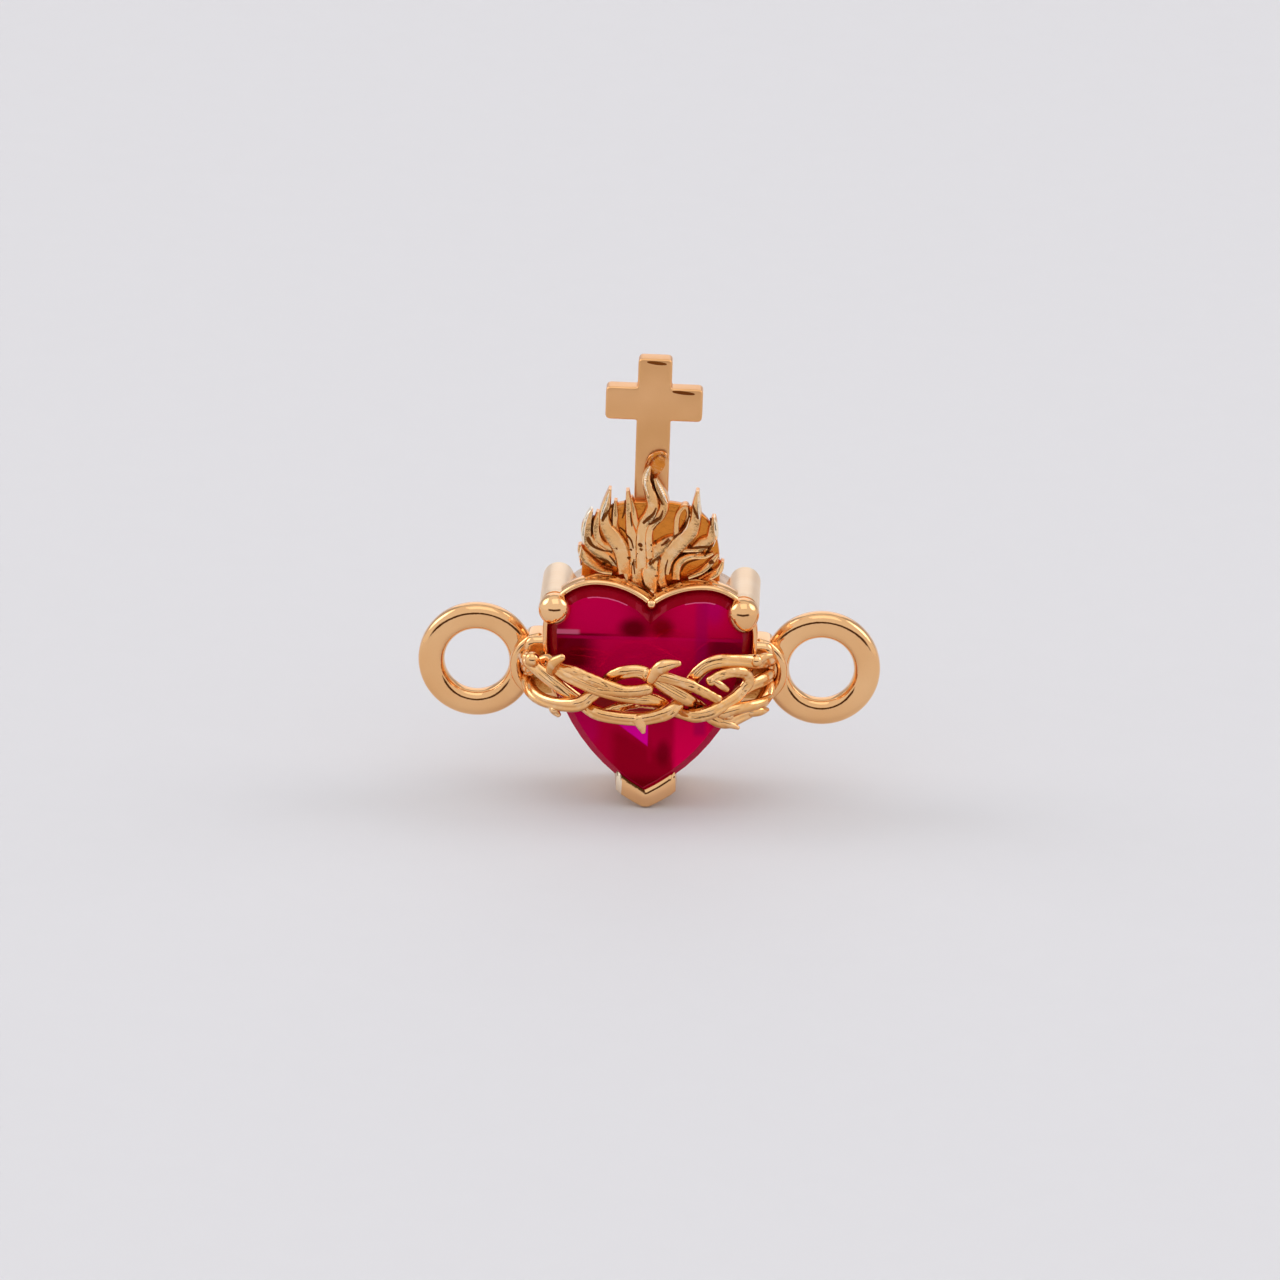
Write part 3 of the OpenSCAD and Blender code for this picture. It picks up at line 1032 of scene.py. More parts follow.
@dataclass
class Cross:
    """The flat Latin cross behind the flames."""

    shaft: float = 0.83
    top: float = 5.53
    span: float = 2.37
    arm: float = 0.83
    head: float = 0.74
    front: float = 1.0
    thick: float = 0.5
    corner: float = 0.13
    inner_corner: float = 0.05
    bars: tuple[Flat, ...] = ((-0.17, 0.275), (0.46, 0.975))
    lean: float = 0.8
    foot: float = -0.2

    def outline(self, middle: float) -> list[Flat]:
        """Outline of the cross with its rounded corners, about the middle of its arms.

        Args:
            middle: height of the arms' middle.

        Returns:
            Points in X and Z.
        """
        w, s, a = self.shaft / 2, self.span / 2, self.arm / 2
        foot, top = self.foot - middle, self.top - middle
        corners = [(-w, foot), (w, foot), (w, -a), (s, -a), (s, a), (w, a), (w, top), (-w, top), (-w, a),
                   (-s, a), (-s, -a), (-w, -a)]
        foot_r, inner, outer = 0.02, self.inner_corner, self.corner
        radii = [foot_r, foot_r, inner, outer, outer, inner, outer, outer, inner, outer, outer, inner]
        return rounded(corners, lambda i: radii[i], 5)

    def make(self) -> Object:
        """Builds the cross, with a painted dark reflection in a line under two of its top edges.

        Returns:
            The cross.
        """
        a = math.radians(-self.lean)
        middle = self.top - self.head - self.arm / 2
        placed = [(x * math.cos(a) - z * math.sin(a), middle + x * math.sin(a) + z * math.cos(a))
                  for x, z in self.outline(middle)]
        solid = Solid()
        solid.slab(placed, self.front, self.front + self.thick, 0.06, 6)
        # Painted dark reflection just under the top edges of the head and the right arm
        solid.tone = Tone.DARK
        for (x0, x1), top in zip(self.bars, (self.top, middle + self.arm / 2)):
            line = [Vector((lerp(x0, x1, i / 8), self.front + 0.01, top - 0.075 - 0.012 * i * (x1 - x0)))
                    for i in range(9)]
            solid.tube(line, lambda u: 0.05 * math.sin(math.pi * (0.1 + 0.8 * u)) ** 0.5, 12, squash=0.6)
        return solid.build("latin_cross", angle=30)


@dataclass
class Gallery:
    """Rail with its lip along the lobes, basket behind the stone, and a lug on each side."""

    heart: Heart
    rail: float = 0.14
    lip: float = 0.12
    depth: float = 0.5
    basket_in: float = 0.2
    wall: float = 0.35
    back: float = 2.3
    lug_in: float = 1.9
    lug_out: float = 3.1
    lug_height: float = 1.6
    lug_front: float = 0.35
    lug_back: float = 1.45
    lug_corner: float = 0.34
    level: float = -2.3
    collar_out: float = 0.34
    collar_r: float = 0.14
    collar_height: float = 1.0
    collar_front: float = 0.48

    def make(self) -> Object:
        """Builds the gallery, with a bead in the notch.

        Returns:
            The gallery.
        """
        solid = Solid()
        self.add_rail(solid)
        self.add_basket(solid)
        for side in Side:
            self.add_lug(solid, side)
            self.add_collar(solid, side)
        solid.ball(self.heart.seat((0.0, -0.09, -0.41)), 0.13, rows=12)
        return solid.build("gallery_rail_and_basket", angle=50)

    def add_rail(self, solid: Solid) -> None:
        """Sweeps the rail's section from the left lug over both lobes to the right lug.

        Args:
            solid: the piece that it is added to.
        """
        rail, depth = self.rail, self.depth
        section = [(-0.02, 0.06), (0.0, -0.05), (0.02, -0.1), (0.06, -self.lip), (0.1, -0.105),
                   (0.135, -0.06), (rail, 0.0), (0.135, 0.07), (0.112, 0.12), (0.112, 0.15), (0.135, 0.19),
                   (rail, 0.26), (rail, 0.42), (0.12, 0.48), (0.08, depth), (-0.3, depth), (-0.3, 0.14)]
        low = self.level - self.lug_height / 2
        lines = [(y, self.heart.half(d, 40)) for d, y in section]
        keep = [i for i in range(min(len(line) for _, line in lines)) if lines[6][1][i][1] > low]
        solid.skin([[self.heart.seat((sign * line[i][0], y, line[i][1])) for y, line in lines]
                    for sign, order in ((-1, keep[::-1]), (1, keep[1:])) for i in order])

    def add_basket(self, solid: Solid) -> None:
        """Adds the heart-shaped tube under the stone, with rounded back edges.

        Args:
            solid: the piece that it is added to.
        """
        outer, inner = (self.heart.outline(-d) for d in (self.basket_in, self.basket_in + self.wall))
        rounds = ((0.0, 0.08), (0.06, 0.02), (0.22, 0.0), (0.78, 0.0), (0.94, 0.02), (1.0, 0.08))
        edges = [(0.0, self.lug_front)] + [(t, self.back - y) for t, y in rounds] + [(1.0, self.lug_front)]
        rings: list[Ring] = []
        for t, y in edges:
            spots = (between(o, i, t) for o, i in zip(outer, inner))
            rings.append([self.heart.seat((x, y, z)) for x, z in spots])
        solid.skin(rings, closed=True)

    def add_lug(self, solid: Solid, side: Side) -> None:
        """Adds one lug as a block with soft edges.

        Args:
            solid: the piece that it is added to.
            side: which side of the pendant.
        """
        x0, x1 = side.value * self.lug_in, side.value * self.lug_out
        low, high = self.level - self.lug_height / 2, self.level + self.lug_height / 2
        outline = rounded([(x0, low), (x1, low), (x1, high), (x0, high)], lambda i: self.lug_corner, 6)
        solid.slab(outline, self.lug_front, self.lug_back, self.lug_corner / 2, 8)
        # Painted shade: the lug's front face takes the shaded finish
        solid.tones[-1] = Tone.DARK.value

    def add_collar(self, solid: Solid, side: Side) -> None:
        """Adds the round collar that bulges past one lug in front of the loop's wire.

        Args:
            solid: the piece that it is added to.
            side: which side of the pendant.
        """
        bow = self.collar_out - self.collar_r
        ring = (bow ** 2 + self.collar_height ** 2 / 4) / (2 * bow)
        middle = self.lug_out + bow - ring
        turns = [math.radians(lerp(-78, 78, i / 40)) for i in range(41)]
        solid.tube([Vector((side.value * (middle + ring * math.cos(a)), self.collar_front + self.collar_r,
                            self.level + ring * math.sin(a))) for a in turns], lambda u: self.collar_r, 24)


@dataclass
class Crown:
    """The plaited crown of thorns, bowed across the front of the stone.

    Each point of a route is its angle round the bow in degrees, its height in mm and how far in front of
    the bow it lies, in steps of one strand over another.
    """

    strand: float = 0.16
    twig: float = 0.125
    bow_x: float = 2.95
    bow_y: float = 1.6
    dip: float = 0.05
    over: float = 0.17
    level: float = -2.3
    lug_front: float = 0.35

    ROUTES = {
        1: [(-94, 0.3, 0), (-76, 0.42, 1), (-64, 0.42, 1.3), (-50, 0.12, 0.6), (-34, -0.42, -1),
            (-22, -0.58, 0), (-5, -0.62, 0.3), (4, -0.53, 0.7), (10, -0.39, 1), (14.5, -0.24, 0.2),
            (19, -0.04, -1), (26, 0.5, -0.7), (34, 0.78, 0), (47, 0.74, 0), (64, 0.6, 0.3), (94, 0.31, 0)],
        2: [(-94, -0.3, 0), (-75, -0.44, 0), (-55, -0.49, 0.3), (-34, -0.37, 1), (-28, -0.15, 0),
            (-22, 0.12, -1), (-16, 0.42, -0.4), (-10, 0.56, 0), (-3, 0.58, 0), (4, 0.42, 0.3), (11, 0.2, 0.8),
            (18.5, -0.05, 1.05), (24, -0.25, -0.4), (29, -0.46, -1), (35, -0.68, -0.4), (42, -0.8, 0),
            (52, -0.7, 0), (65, -0.6, 0), (94, -0.3, 0)],
        3: [(-94, 0, 0), (-80, 0.08, 0), (-70, 0.28, -0.3), (-60, 0.48, -0.9), (-50, 0.47, 0),
            (-36, 0.3, 0.7), (-22, 0.12, 1), (-12, 0, 0.7), (-3, -0.07, 0.3), (4, -0.17, -0.4),
            (11, -0.38, -1.1), (18, -0.52, -0.9), (23, -0.53, 0.6), (29, -0.46, 1), (37, -0.33, 0.6),
            (45, -0.2, 0.3), (54, -0.02, 0), (68, 0.06, 0), (94, 0, 0)],
    }
    TWIGS = {
        1: [[(-20, -0.56, 0), (-12, -0.38, -1), (-4, -0.34, -1.9), (4, -0.38, -2.1)]],
        2: [[(0, 0.54, 0.4), (6, 0.55, 1), (18, 0.35, 1.3), (26, 0.12, 1.3), (34, -0.12, 1)]],
        3: [[(-44, 0.46, 0.4), (-34, 0.46, 0.8), (-24, 0.35, 1.2), (-15, 0.22, 1.3), (-9, 0.14, 1.2)],
            [(50, -0.1, 0.2), (55, 0.16, 0.4), (52, 0.4, 0.5), (44, 0.5, 0.6), (36, 0.47, 0.7),
             (30, 0.34, 0.8)]],
    }
    # Thorns and leaves: the points that each follows, then its radius from the root to the tip
    THORNS = {
        1: [([(-49, 0.4, 1), (-46, 0.62, 1.4), (-40, 0.84, 1.6)], (0.13, 0.15, 0.09)),
            ([(-3, -0.62, 0.3), (-2, -0.76, 0.6), (-1, -0.92, 0.8)], (0.2, 0.14, 0.06)),
            ([(60, 0.62, 0.3), (66, 0.72, 1), (70, 0.74, 1.6)], (0.14, 0.1, 0.05))],
        2: [([(2, 0.44, 0.8), (5, 0.72, 1.2), (9, 0.86, 1.5), (14, 0.9, 1.6)], (0.14, 0.18, 0.08)),
            ([(-50, -0.5, 0.3), (-48, -0.63, 0.6), (-45, -0.74, 0.6)], (0.13, 0.12, 0.07)),
            ([(39, -0.78, 0), (43, -0.86, 0.5), (47, -0.96, 0.8)], (0.14, 0.1, 0.05)),
            ([(38, -0.54, 0.5), (45, -0.44, 1), (60, -0.42, 1.2), (75, -0.4, 1)], (0.15, 0.15, 0.13, 0.08)),
            ([(58, -0.64, 0.4), (64, -0.66, 0.8), (71, -0.7, 1)], (0.14, 0.13, 0.06))],
        3: [([(-6, -0.04, 0.5), (-3, 0.05, 1), (0, 0.12, 1.5)], (0.1, 0.08, 0.04)),
            ([(31, 0.38, 0.9), (35, 0.24, 1.1), (39, 0.1, 0.9)], (0.08, 0.1, 0.08)),
            ([(-22, 0.12, 1), (-7, 0.13, 1), (1, 0.21, 1.1)], (0.15, 0.16, 0.15))],
    }
    KNOBS = {1: [((-61, 0.57, 1.7), 0.19), ((59, 0.68, 0.9), 0.16)],
             2: [((41, -0.6, 0.9), 0.11), ((-47, -0.62, 0.8), 0.11)], 3: []}

    def bow(self, s: Sequence[float]) -> Vector:
        """Point of the bow at an angle, height and place in front of it."""
        a, d = math.radians(s[0]), s[2] * self.over
        return Vector(((self.bow_x + d) * math.sin(a), self.lug_front - (self.bow_y + d) * math.cos(a),
                       self.level + s[1] - self.dip * math.cos(a)))

    def line(self, route: Line, n: int) -> Ring:
        """Points along a route."""
        return [self.bow(curve_at(route, i / n)) for i in range(n + 1)]

    @staticmethod
    def bark(number: int, u: float, a: float) -> float:
        """Factor on a strand's radius that makes it uneven, with one long groove.

        Args:
            number: the strand's number.
            u: share of its length.
            a: angle round it, in radians.

        Returns:
            The factor.
        """
        wave = 0.035 * math.sin(23 * u + number) + 0.02 * math.sin(61 * u + 2 * number)
        turn = a - math.pi / 2 - 0.5 * math.sin(9 * u + number)
        groove = math.exp(-((math.atan2(math.sin(turn), math.cos(turn)) / 0.3) ** 2))
        return 1.03 + wave + 0.1 * math.cos(2 * a) - 0.17 * groove

    def make(self, number: int) -> Object:
        """Builds one strand with its twigs, thorns and knobs.

        Args:
            number: the strand's number.

        Returns:
            The strand.
        """
        solid = Solid()
        bark = partial(self.bark, number)
        solid.tube(self.line(self.ROUTES[number], 260), lambda u: self.strand, 32, bark)
        for twig in self.TWIGS[number]:
            solid.tube(self.line(twig, 70), lambda u: self.twig * (1.12 - 0.2 * u), 24, bark)
        for points, radii in self.THORNS[number]:
            solid.tube(self.line(points, 20), lambda u, r=radii: curve_at([(v,) for v in r], u)[0])
        for spot, radius in self.KNOBS[number]:
            solid.ball(self.bow(spot), radius)
        return solid.build(f"crown_strand_{number}", angle=60)


@dataclass
class Flames:
    """Carved relief of flame tongues on a thin plate, with raised ridges in painted highlight, and grooves
    and small pits drawn as thin dark ribbons of painted shade.

    Each point of a line is its X, its Z and half the line's width there.
    """

    back: float = 1.0
    plate: float = 0.24
    plate_w: float = 1.7
    plate_top: float = 1.95
    square: float = 3.0
    tongue_steps: int = 48
    sample_steps: int = 40
    samples: list[tuple[float, list[list[float]]]] = field(default_factory=list)

    # Each tongue's height above the back, then its middle from root to tip
    TONGUES = [
        (0.36, [(-0.94, 0.16, 0.096), (-1.24, 0.23, 0.127), (-1.54, 0.43, 0.140), (-1.71, 0.65, 0.096),
                (-1.75, 0.81, 0.038)]),
        (0.40, [(-0.70, 0.35, 0.127), (-0.95, 0.49, 0.160), (-1.22, 0.64, 0.176), (-1.44, 0.82, 0.176),
                (-1.57, 1.05, 0.143), (-1.58, 1.33, 0.127), (-1.48, 1.69, 0.038)]),
        (0.38, [(-0.78, 0.60, 0.127), (-0.98, 0.75, 0.127), (-1.20, 0.85, 0.114), (-1.33, 1.08, 0.101),
                (-1.36, 1.36, 0.090), (-1.31, 1.67, 0.044)]),
        (0.45, [(-0.65, 0.14, 0.160), (-0.68, 0.50, 0.191), (-0.76, 0.78, 0.207), (-0.93, 1.06, 0.207),
                (-1.11, 1.34, 0.160), (-1.16, 1.63, 0.127), (-1.10, 1.94, 0.101), (-1.03, 2.28, 0.033)]),
        (0.36, [(-0.78, 0.96, 0.096), (-0.89, 1.35, 0.083), (-0.89, 1.63, 0.077), (-0.89, 1.97, 0.038)]),
        (0.40, [(-0.36, 0.46, 0.160), (-0.41, 0.87, 0.160), (-0.49, 1.18, 0.143), (-0.55, 1.49, 0.096),
                (-0.57, 1.85, 0.083), (-0.60, 2.24, 0.038)]),
        (0.36, [(-0.24, 0.57, 0.127), (-0.32, 0.95, 0.127), (-0.39, 1.29, 0.108), (-0.42, 1.60, 0.083),
                (-0.46, 1.85, 0.057), (-0.51, 2.06, 0.033)]),
        (0.50, [(-0.21, 0.31, 0.160), (-0.24, 0.82, 0.143), (-0.24, 1.19, 0.134), (-0.18, 1.45, 0.147),
                (-0.04, 1.68, 0.160), (0.03, 1.94, 0.160), (-0.05, 2.23, 0.140), (-0.14, 2.51, 0.114),
                (-0.12, 2.74, 0.083), (-0.05, 2.91, 0.033)]),
        (0.46, [(-0.02, 0.57, 0.108), (-0.05, 0.91, 0.108), (-0.05, 1.22, 0.101), (0.02, 1.43, 0.108),
                (0.19, 1.61, 0.127), (0.30, 1.85, 0.127), (0.28, 2.08, 0.114), (0.17, 2.34, 0.096),
                (0.07, 2.59, 0.051)]),
        (0.44, [(-0.06, 0.31, 0.127), (0.03, 0.65, 0.176), (0.22, 0.81, 0.176), (0.44, 1.00, 0.134),
                (0.64, 1.13, 0.051)]),
        (0.36, [(0.61, 0.98, 0.096), (0.61, 1.31, 0.077), (0.63, 1.60, 0.070), (0.72, 1.81, 0.061),
                (0.84, 1.88, 0.051), (0.89, 1.74, 0.051), (0.87, 1.53, 0.057), (0.78, 1.32, 0.064),
                (0.64, 1.11, 0.077)]),
        (0.45, [(0.33, 0.17, 0.160), (0.40, 0.53, 0.191), (0.57, 0.79, 0.207), (0.78, 1.03, 0.207),
                (0.98, 1.27, 0.191), (1.08, 1.56, 0.147), (1.09, 1.90, 0.108), (1.12, 2.29, 0.038)]),
        (0.40, [(0.96, 0.65, 0.127), (1.25, 0.92, 0.160), (1.45, 1.08, 0.127), (1.51, 1.34, 0.114),
                (1.53, 1.62, 0.044)]),
        (0.42, [(0.72, 0.77, 0.064), (1.01, 0.79, 0.064), (1.38, 0.81, 0.051)]),
        (0.42, [(0.63, 0.02, 0.114), (0.64, 0.33, 0.121), (0.77, 0.53, 0.114), (1.01, 0.63, 0.096),
                (1.31, 0.62, 0.077), (1.53, 0.69, 0.044)]),
        (0.36, [(0.92, 0.08, 0.083), (1.22, 0.22, 0.096), (1.41, 0.38, 0.096), (1.55, 0.54, 0.077),
                (1.65, 0.67, 0.033)]),
        (0.38, [(-0.25, -0.26, 0.191), (-0.30, 0.12, 0.207), (-0.31, 0.46, 0.160), (-0.26, 0.72, 0.064)]),
        (0.42, [(-0.52, -0.01, 0.096), (-0.58, 0.25, 0.143), (-0.55, 0.45, 0.127), (-0.48, 0.64, 0.051)]),
        (0.50, [(0.12, -0.30, 0.064), (0.02, -0.07, 0.191), (-0.01, 0.21, 0.224), (0.06, 0.44, 0.160),
                (0.20, 0.58, 0.051)]),
        (0.40, [(0.34, -0.19, 0.096), (0.26, 0.06, 0.127), (0.31, 0.32, 0.127), (0.42, 0.53, 0.064)]),
        (0.42, [(1.22, 0.00, 0.080), (1.46, 0.11, 0.112), (1.68, 0.27, 0.096), (1.77, 0.48, 0.038)]),
        (0.12, [(-0.19, 2.66, 0.032), (-0.14, 2.87, 0.050), (-0.05, 3.05, 0.058), (0.10, 3.14, 0.062),
                (0.24, 3.16, 0.050), (0.33, 3.10, 0.035), (0.37, 3.00, 0.020)]),
    ]
    # Low tongue that fills the curl above the others, darkened by the painted depth shade
    EMBER = (0.08, [(-0.04, 2.51, 0.060), (0.06, 2.72, 0.150), (0.15, 2.92, 0.170), (0.24, 3.06, 0.080)])
    # Raised ridges along the tongues' edges, which take the painted highlight finish
    RIMS = [
        [(-1.64, 0.86, 0.029), (-1.67, 1.09, 0.054), (-1.63, 1.38, 0.054), (-1.56, 1.59, 0.044),
         (-1.48, 1.73, 0.020)],
        [(-1.24, 1.55, 0.029), (-1.19, 1.75, 0.054), (-1.12, 1.96, 0.054), (-1.04, 2.25, 0.025)],
        [(-0.09, 2.20, 0.020), (-0.17, 2.46, 0.044), (-0.15, 2.69, 0.049), (-0.06, 2.91, 0.025)],
        [(0.37, 2.01, 0.029), (0.27, 2.21, 0.054), (0.17, 2.41, 0.049), (0.08, 2.59, 0.022)],
        [(0.71, 1.16, 0.020), (0.88, 1.40, 0.029), (0.96, 1.69, 0.025)],
        [(1.18, 1.59, 0.029), (1.15, 1.90, 0.049), (1.13, 2.23, 0.034)],
        [(1.52, 0.85, 0.029), (1.59, 1.13, 0.054), (1.57, 1.39, 0.054), (1.53, 1.62, 0.025)],
        [(1.63, 0.44, 0.039), (1.65, 0.59, 0.044)],
        [(-1.72, 0.26, 0.020), (-1.75, 0.52, 0.032), (-1.71, 0.76, 0.022)],
    ]
    # Thin dark lines of painted shade that stand for grooves
    GROOVES = [
        [(-1.57, 1.05, 0.029), (-1.53, 0.96, 0.047), (-1.47, 0.87, 0.039), (-1.37, 0.79, 0.027),
         (-1.17, 0.72, 0.022), (-0.93, 0.69, 0.012)],
        [(-1.47, 1.07, 0.017), (-1.45, 1.31, 0.029), (-1.42, 1.57, 0.020)],
        [(-1.20, 1.48, 0.022), (-1.14, 1.63, 0.039), (-1.07, 1.73, 0.027), (-0.97, 1.85, 0.020)],
        [(-0.96, 1.37, 0.017), (-0.97, 1.63, 0.025), (-0.95, 1.89, 0.017)],
        [(-0.77, 1.28, 0.017), (-0.62, 1.15, 0.025), (-0.49, 1.00, 0.022), (-0.43, 0.79, 0.015)],
        [(-0.72, 1.51, 0.015), (-0.66, 1.74, 0.029), (-0.65, 1.98, 0.025)],
        [(-0.48, 1.36, 0.012), (-0.50, 1.54, 0.022), (-0.53, 1.72, 0.010)],
        [(0.28, 1.95, 0.017), (0.13, 2.21, 0.025), (0.02, 2.44, 0.029), (-0.03, 2.69, 0.027)],
        [(-0.20, 1.47, 0.025), (-0.08, 1.59, 0.037), (0.04, 1.72, 0.032), (0.11, 1.89, 0.015)],
        [(-0.06, 1.45, 0.039), (0.09, 1.52, 0.034), (0.22, 1.63, 0.029), (0.28, 1.80, 0.012)],
        [(0.06, 1.29, 0.039), (0.12, 1.39, 0.027), (0.21, 1.51, 0.012)],
        [(-0.20, 0.00, 0.015), (-0.14, -0.13, 0.039), (0.01, -0.24, 0.027)],
        [(-0.01, 0.40, 0.020), (0.06, 0.50, 0.032), (0.15, 0.55, 0.027), (0.25, 0.55, 0.012)],
        [(0.90, 1.89, 0.017), (0.92, 1.63, 0.027), (0.84, 1.40, 0.027), (0.68, 1.21, 0.022),
         (0.54, 1.08, 0.012)],
        [(1.01, 1.95, 0.015), (1.07, 1.77, 0.027), (1.14, 1.60, 0.015)],
        [(1.45, 1.58, 0.025), (1.46, 1.42, 0.020)],
        [(0.91, 0.85, 0.015), (1.13, 0.85, 0.029), (1.35, 0.88, 0.029), (1.49, 0.90, 0.025)],
        [(1.49, 0.90, 0.029), (1.43, 0.77, 0.034), (1.32, 0.63, 0.017)],
        [(0.73, 0.71, 0.039), (0.84, 0.72, 0.022), (1.08, 0.74, 0.017), (1.30, 0.73, 0.020)],
        [(0.75, 0.18, 0.020), (0.80, 0.31, 0.029), (0.92, 0.42, 0.025), (1.14, 0.50, 0.020),
         (1.33, 0.54, 0.012)],
        [(0.54, 0.10, 0.015), (0.55, 0.38, 0.025), (0.65, 0.56, 0.025), (0.82, 0.66, 0.017)],
        [(1.43, 0.44, 0.029), (1.55, 0.49, 0.039)],
        [(1.39, 0.22, 0.022), (1.51, 0.29, 0.034)],
        [(-1.39, 0.53, 0.017), (-1.24, 0.50, 0.034), (-1.07, 0.43, 0.042), (-0.94, 0.30, 0.042)],
        [(-1.21, 0.33, 0.022), (-1.09, 0.36, 0.032)],
        [(-1.02, 0.58, 0.010), (-0.90, 0.44, 0.020), (-0.82, 0.32, 0.012)],
        [(0.36, 0.14, 0.012), (0.37, 0.32, 0.020), (0.42, 0.53, 0.010)],
        [(0.25, 0.89, 0.012), (0.37, 0.96, 0.020), (0.47, 1.04, 0.012)],
        [(-0.38, 0.12, 0.012), (-0.41, 0.33, 0.020), (-0.41, 0.51, 0.012)],
    ]
    PITS = [
        (-0.26, 0.91, 0.059), (-0.24, 0.80, 0.039), (-0.49, 0.76, 0.037), (-0.54, 0.56, 0.047),
        (0.01, 0.91, 0.029), (0.11, 0.95, 0.034), (-0.84, 0.79, 0.027), (-0.34, 0.70, 0.027),
        (0.02, 0.75, 0.020), (0.13, 0.13, 0.027), (0.17, 0.13, 0.025)
    ]

    def spread(self, value: float) -> float:
        """Cosine or sine bent towards a squarer outline."""
        return math.copysign(abs(value) ** (2.0 / self.square), value)

    @staticmethod
    def shoulder(s: float) -> float:
        """Share of a tongue's height at share s of its half width."""
        return 1.0 - 0.06 * max(0.0, 1.0 - (s / 0.72) ** 2) - 2.4 * max(0.0, abs(s) - 0.72) ** 2

    @staticmethod
    def taper(u: float) -> float:
        """Share of a tongue's height at share u of its length."""
        return 1.0 - 0.22 * ease(u * 2.2 - 1.2)

    def level(self, x: float, z: float) -> float:
        """Depth of the foremost tongue at a place, or of the plate where there is none.

        Args:
            x: place across.
            z: height.

        Returns:
            The depth.
        """
        best = self.back - self.plate
        for rise, line in self.samples:
            for i, (px, pz, w) in enumerate(line):
                d = math.hypot(x - px, z - pz) / w
                if d < 1.0:
                    height = rise * self.taper(i / self.sample_steps)
                    best = min(best, self.back - height * self.shoulder(d))
        return best

    def make(self) -> Object:
        """Builds the flames.

        Returns:
            The flames.
        """
        solid = Solid()
        turns = [math.radians(a) for a in range(-8, 190, 4)]
        plate = [(self.plate_w * self.spread(math.cos(a)), self.plate_top * self.spread(math.sin(a)))
                 for a in turns]
        solid.slab(plate, self.back - self.plate, self.back, 0.04)
        n = self.sample_steps
        self.samples = [(rise, [curve_at(line, i / n) for i in range(n + 1)]) for rise, line in self.TONGUES]
        for rise, middle in [*self.TONGUES, self.EMBER]:
            self.add_tongue(solid, rise, middle)
        # The ridges along the edges in the painted highlight finish
        solid.tone = Tone.HIGHLIGHT
        for line in self.RIMS:
            self.add_rim(solid, line)
        # Grooves and pits as thin dark ribbons of painted shade on the carved front
        solid.tone = Tone.DARK
        for line in self.GROOVES:
            self.add_groove(solid, line)
        for x, z, r in self.PITS:
            start, end = (x - 0.4 * r, z - 0.5 * r, r * 0.8), (x + 0.3 * r, z + 0.6 * r, r * 0.6)
            self.add_groove(solid, [start, (x, z, r), end])
        return solid.build("flame_relief", angle=40)

    @staticmethod
    def across(line: Line, steps: int) -> Iterable[tuple[float, float, Vector]]:
        """Points along a line, each with the way across it to the edge.

        Args:
            line: the line.
            steps: steps along it.

        Returns:
            X, Z and the way to the edge, point by point.
        """
        for i in range(steps + 1):
            u = i / steps
            x, z, w = curve_at(line, u)
            a, b = curve_at(line, max(u - 0.01, 0)), curve_at(line, min(u + 0.01, 1))
            along = Vector((b[0] - a[0], b[1] - a[1])).normalized()
            yield x, z, Vector((-along.y * w, along.x * w))

    def add_tongue(self, solid: Solid, rise: float, middle: Line) -> None:
        """Adds one tongue with a flat top and soft shoulders.

        Args:
            solid: the relief.
            rise: height of the tongue above the back.
            middle: X, Z and half width along it.
        """
        marks = [-1.0, -0.97, -0.88, -0.72, -0.5, -0.2, 0.2, 0.5, 0.72, 0.88, 0.97, 1.0]
        # Each back lies at a depth of its own inside the plate, so that no two lie in one plane
        back = self.back - 0.015 - 0.02 * (0.5 + 0.5 * math.sin(37.0 * middle[0][0] + 11.0 * middle[0][1]))
        rings = []
        for i, (x, z, side) in enumerate(self.across(middle, self.tongue_steps)):
            height = rise * self.taper(i / self.tongue_steps)
            top = [(x + side.x * m, self.back - height * self.shoulder(m), z + side.y * m) for m in marks]
            rings.append([(x - side.x, back, z - side.y), *top, (x + side.x, back, z + side.y)])
        solid.skin(rings)

    def add_rim(self, solid: Solid, line: Line) -> None:
        """Adds one rounded ridge along a tongue's edge, in the painted highlight finish.

        Args:
            solid: the relief.
            line: X, Z and half width along the rim.
        """
        foot = self.back - 0.05
        rings = []
        for x, z, side in self.across(line, 24):
            front = self.level(x, z) - 0.012
            top = [(x + side.x * m, front + 0.07 * (1 - math.sqrt(1 - m * m)), z + side.y * m)
                   for m in (-1.0, -0.8, -0.45, 0.0, 0.45, 0.8, 1.0)]
            rings.append([(x - side.x, foot, z - side.y), *top, (x + side.x, foot, z + side.y)])
        solid.skin(rings)

    def add_groove(self, solid: Solid, line: Line) -> None:
        """Adds one thin dark line of painted shade that stands for a groove and follows the carved front.

        Args:
            solid: the relief.
            line: X, Z and half width along the cut.
        """
        lifts = ((-1.0, 0.002), (-0.5, 0.007), (0.0, 0.009), (0.5, 0.007), (1.0, 0.002), (0.0, -0.03))
        rings = []
        for x, z, side in self.across(line, 20):
            spots = [(x + side.x * m, z + side.y * m, lift) for m, lift in lifts]
            rings.append([(px, self.level(px, pz) - lift, pz) for px, pz, lift in spots])
        solid.skin(rings)


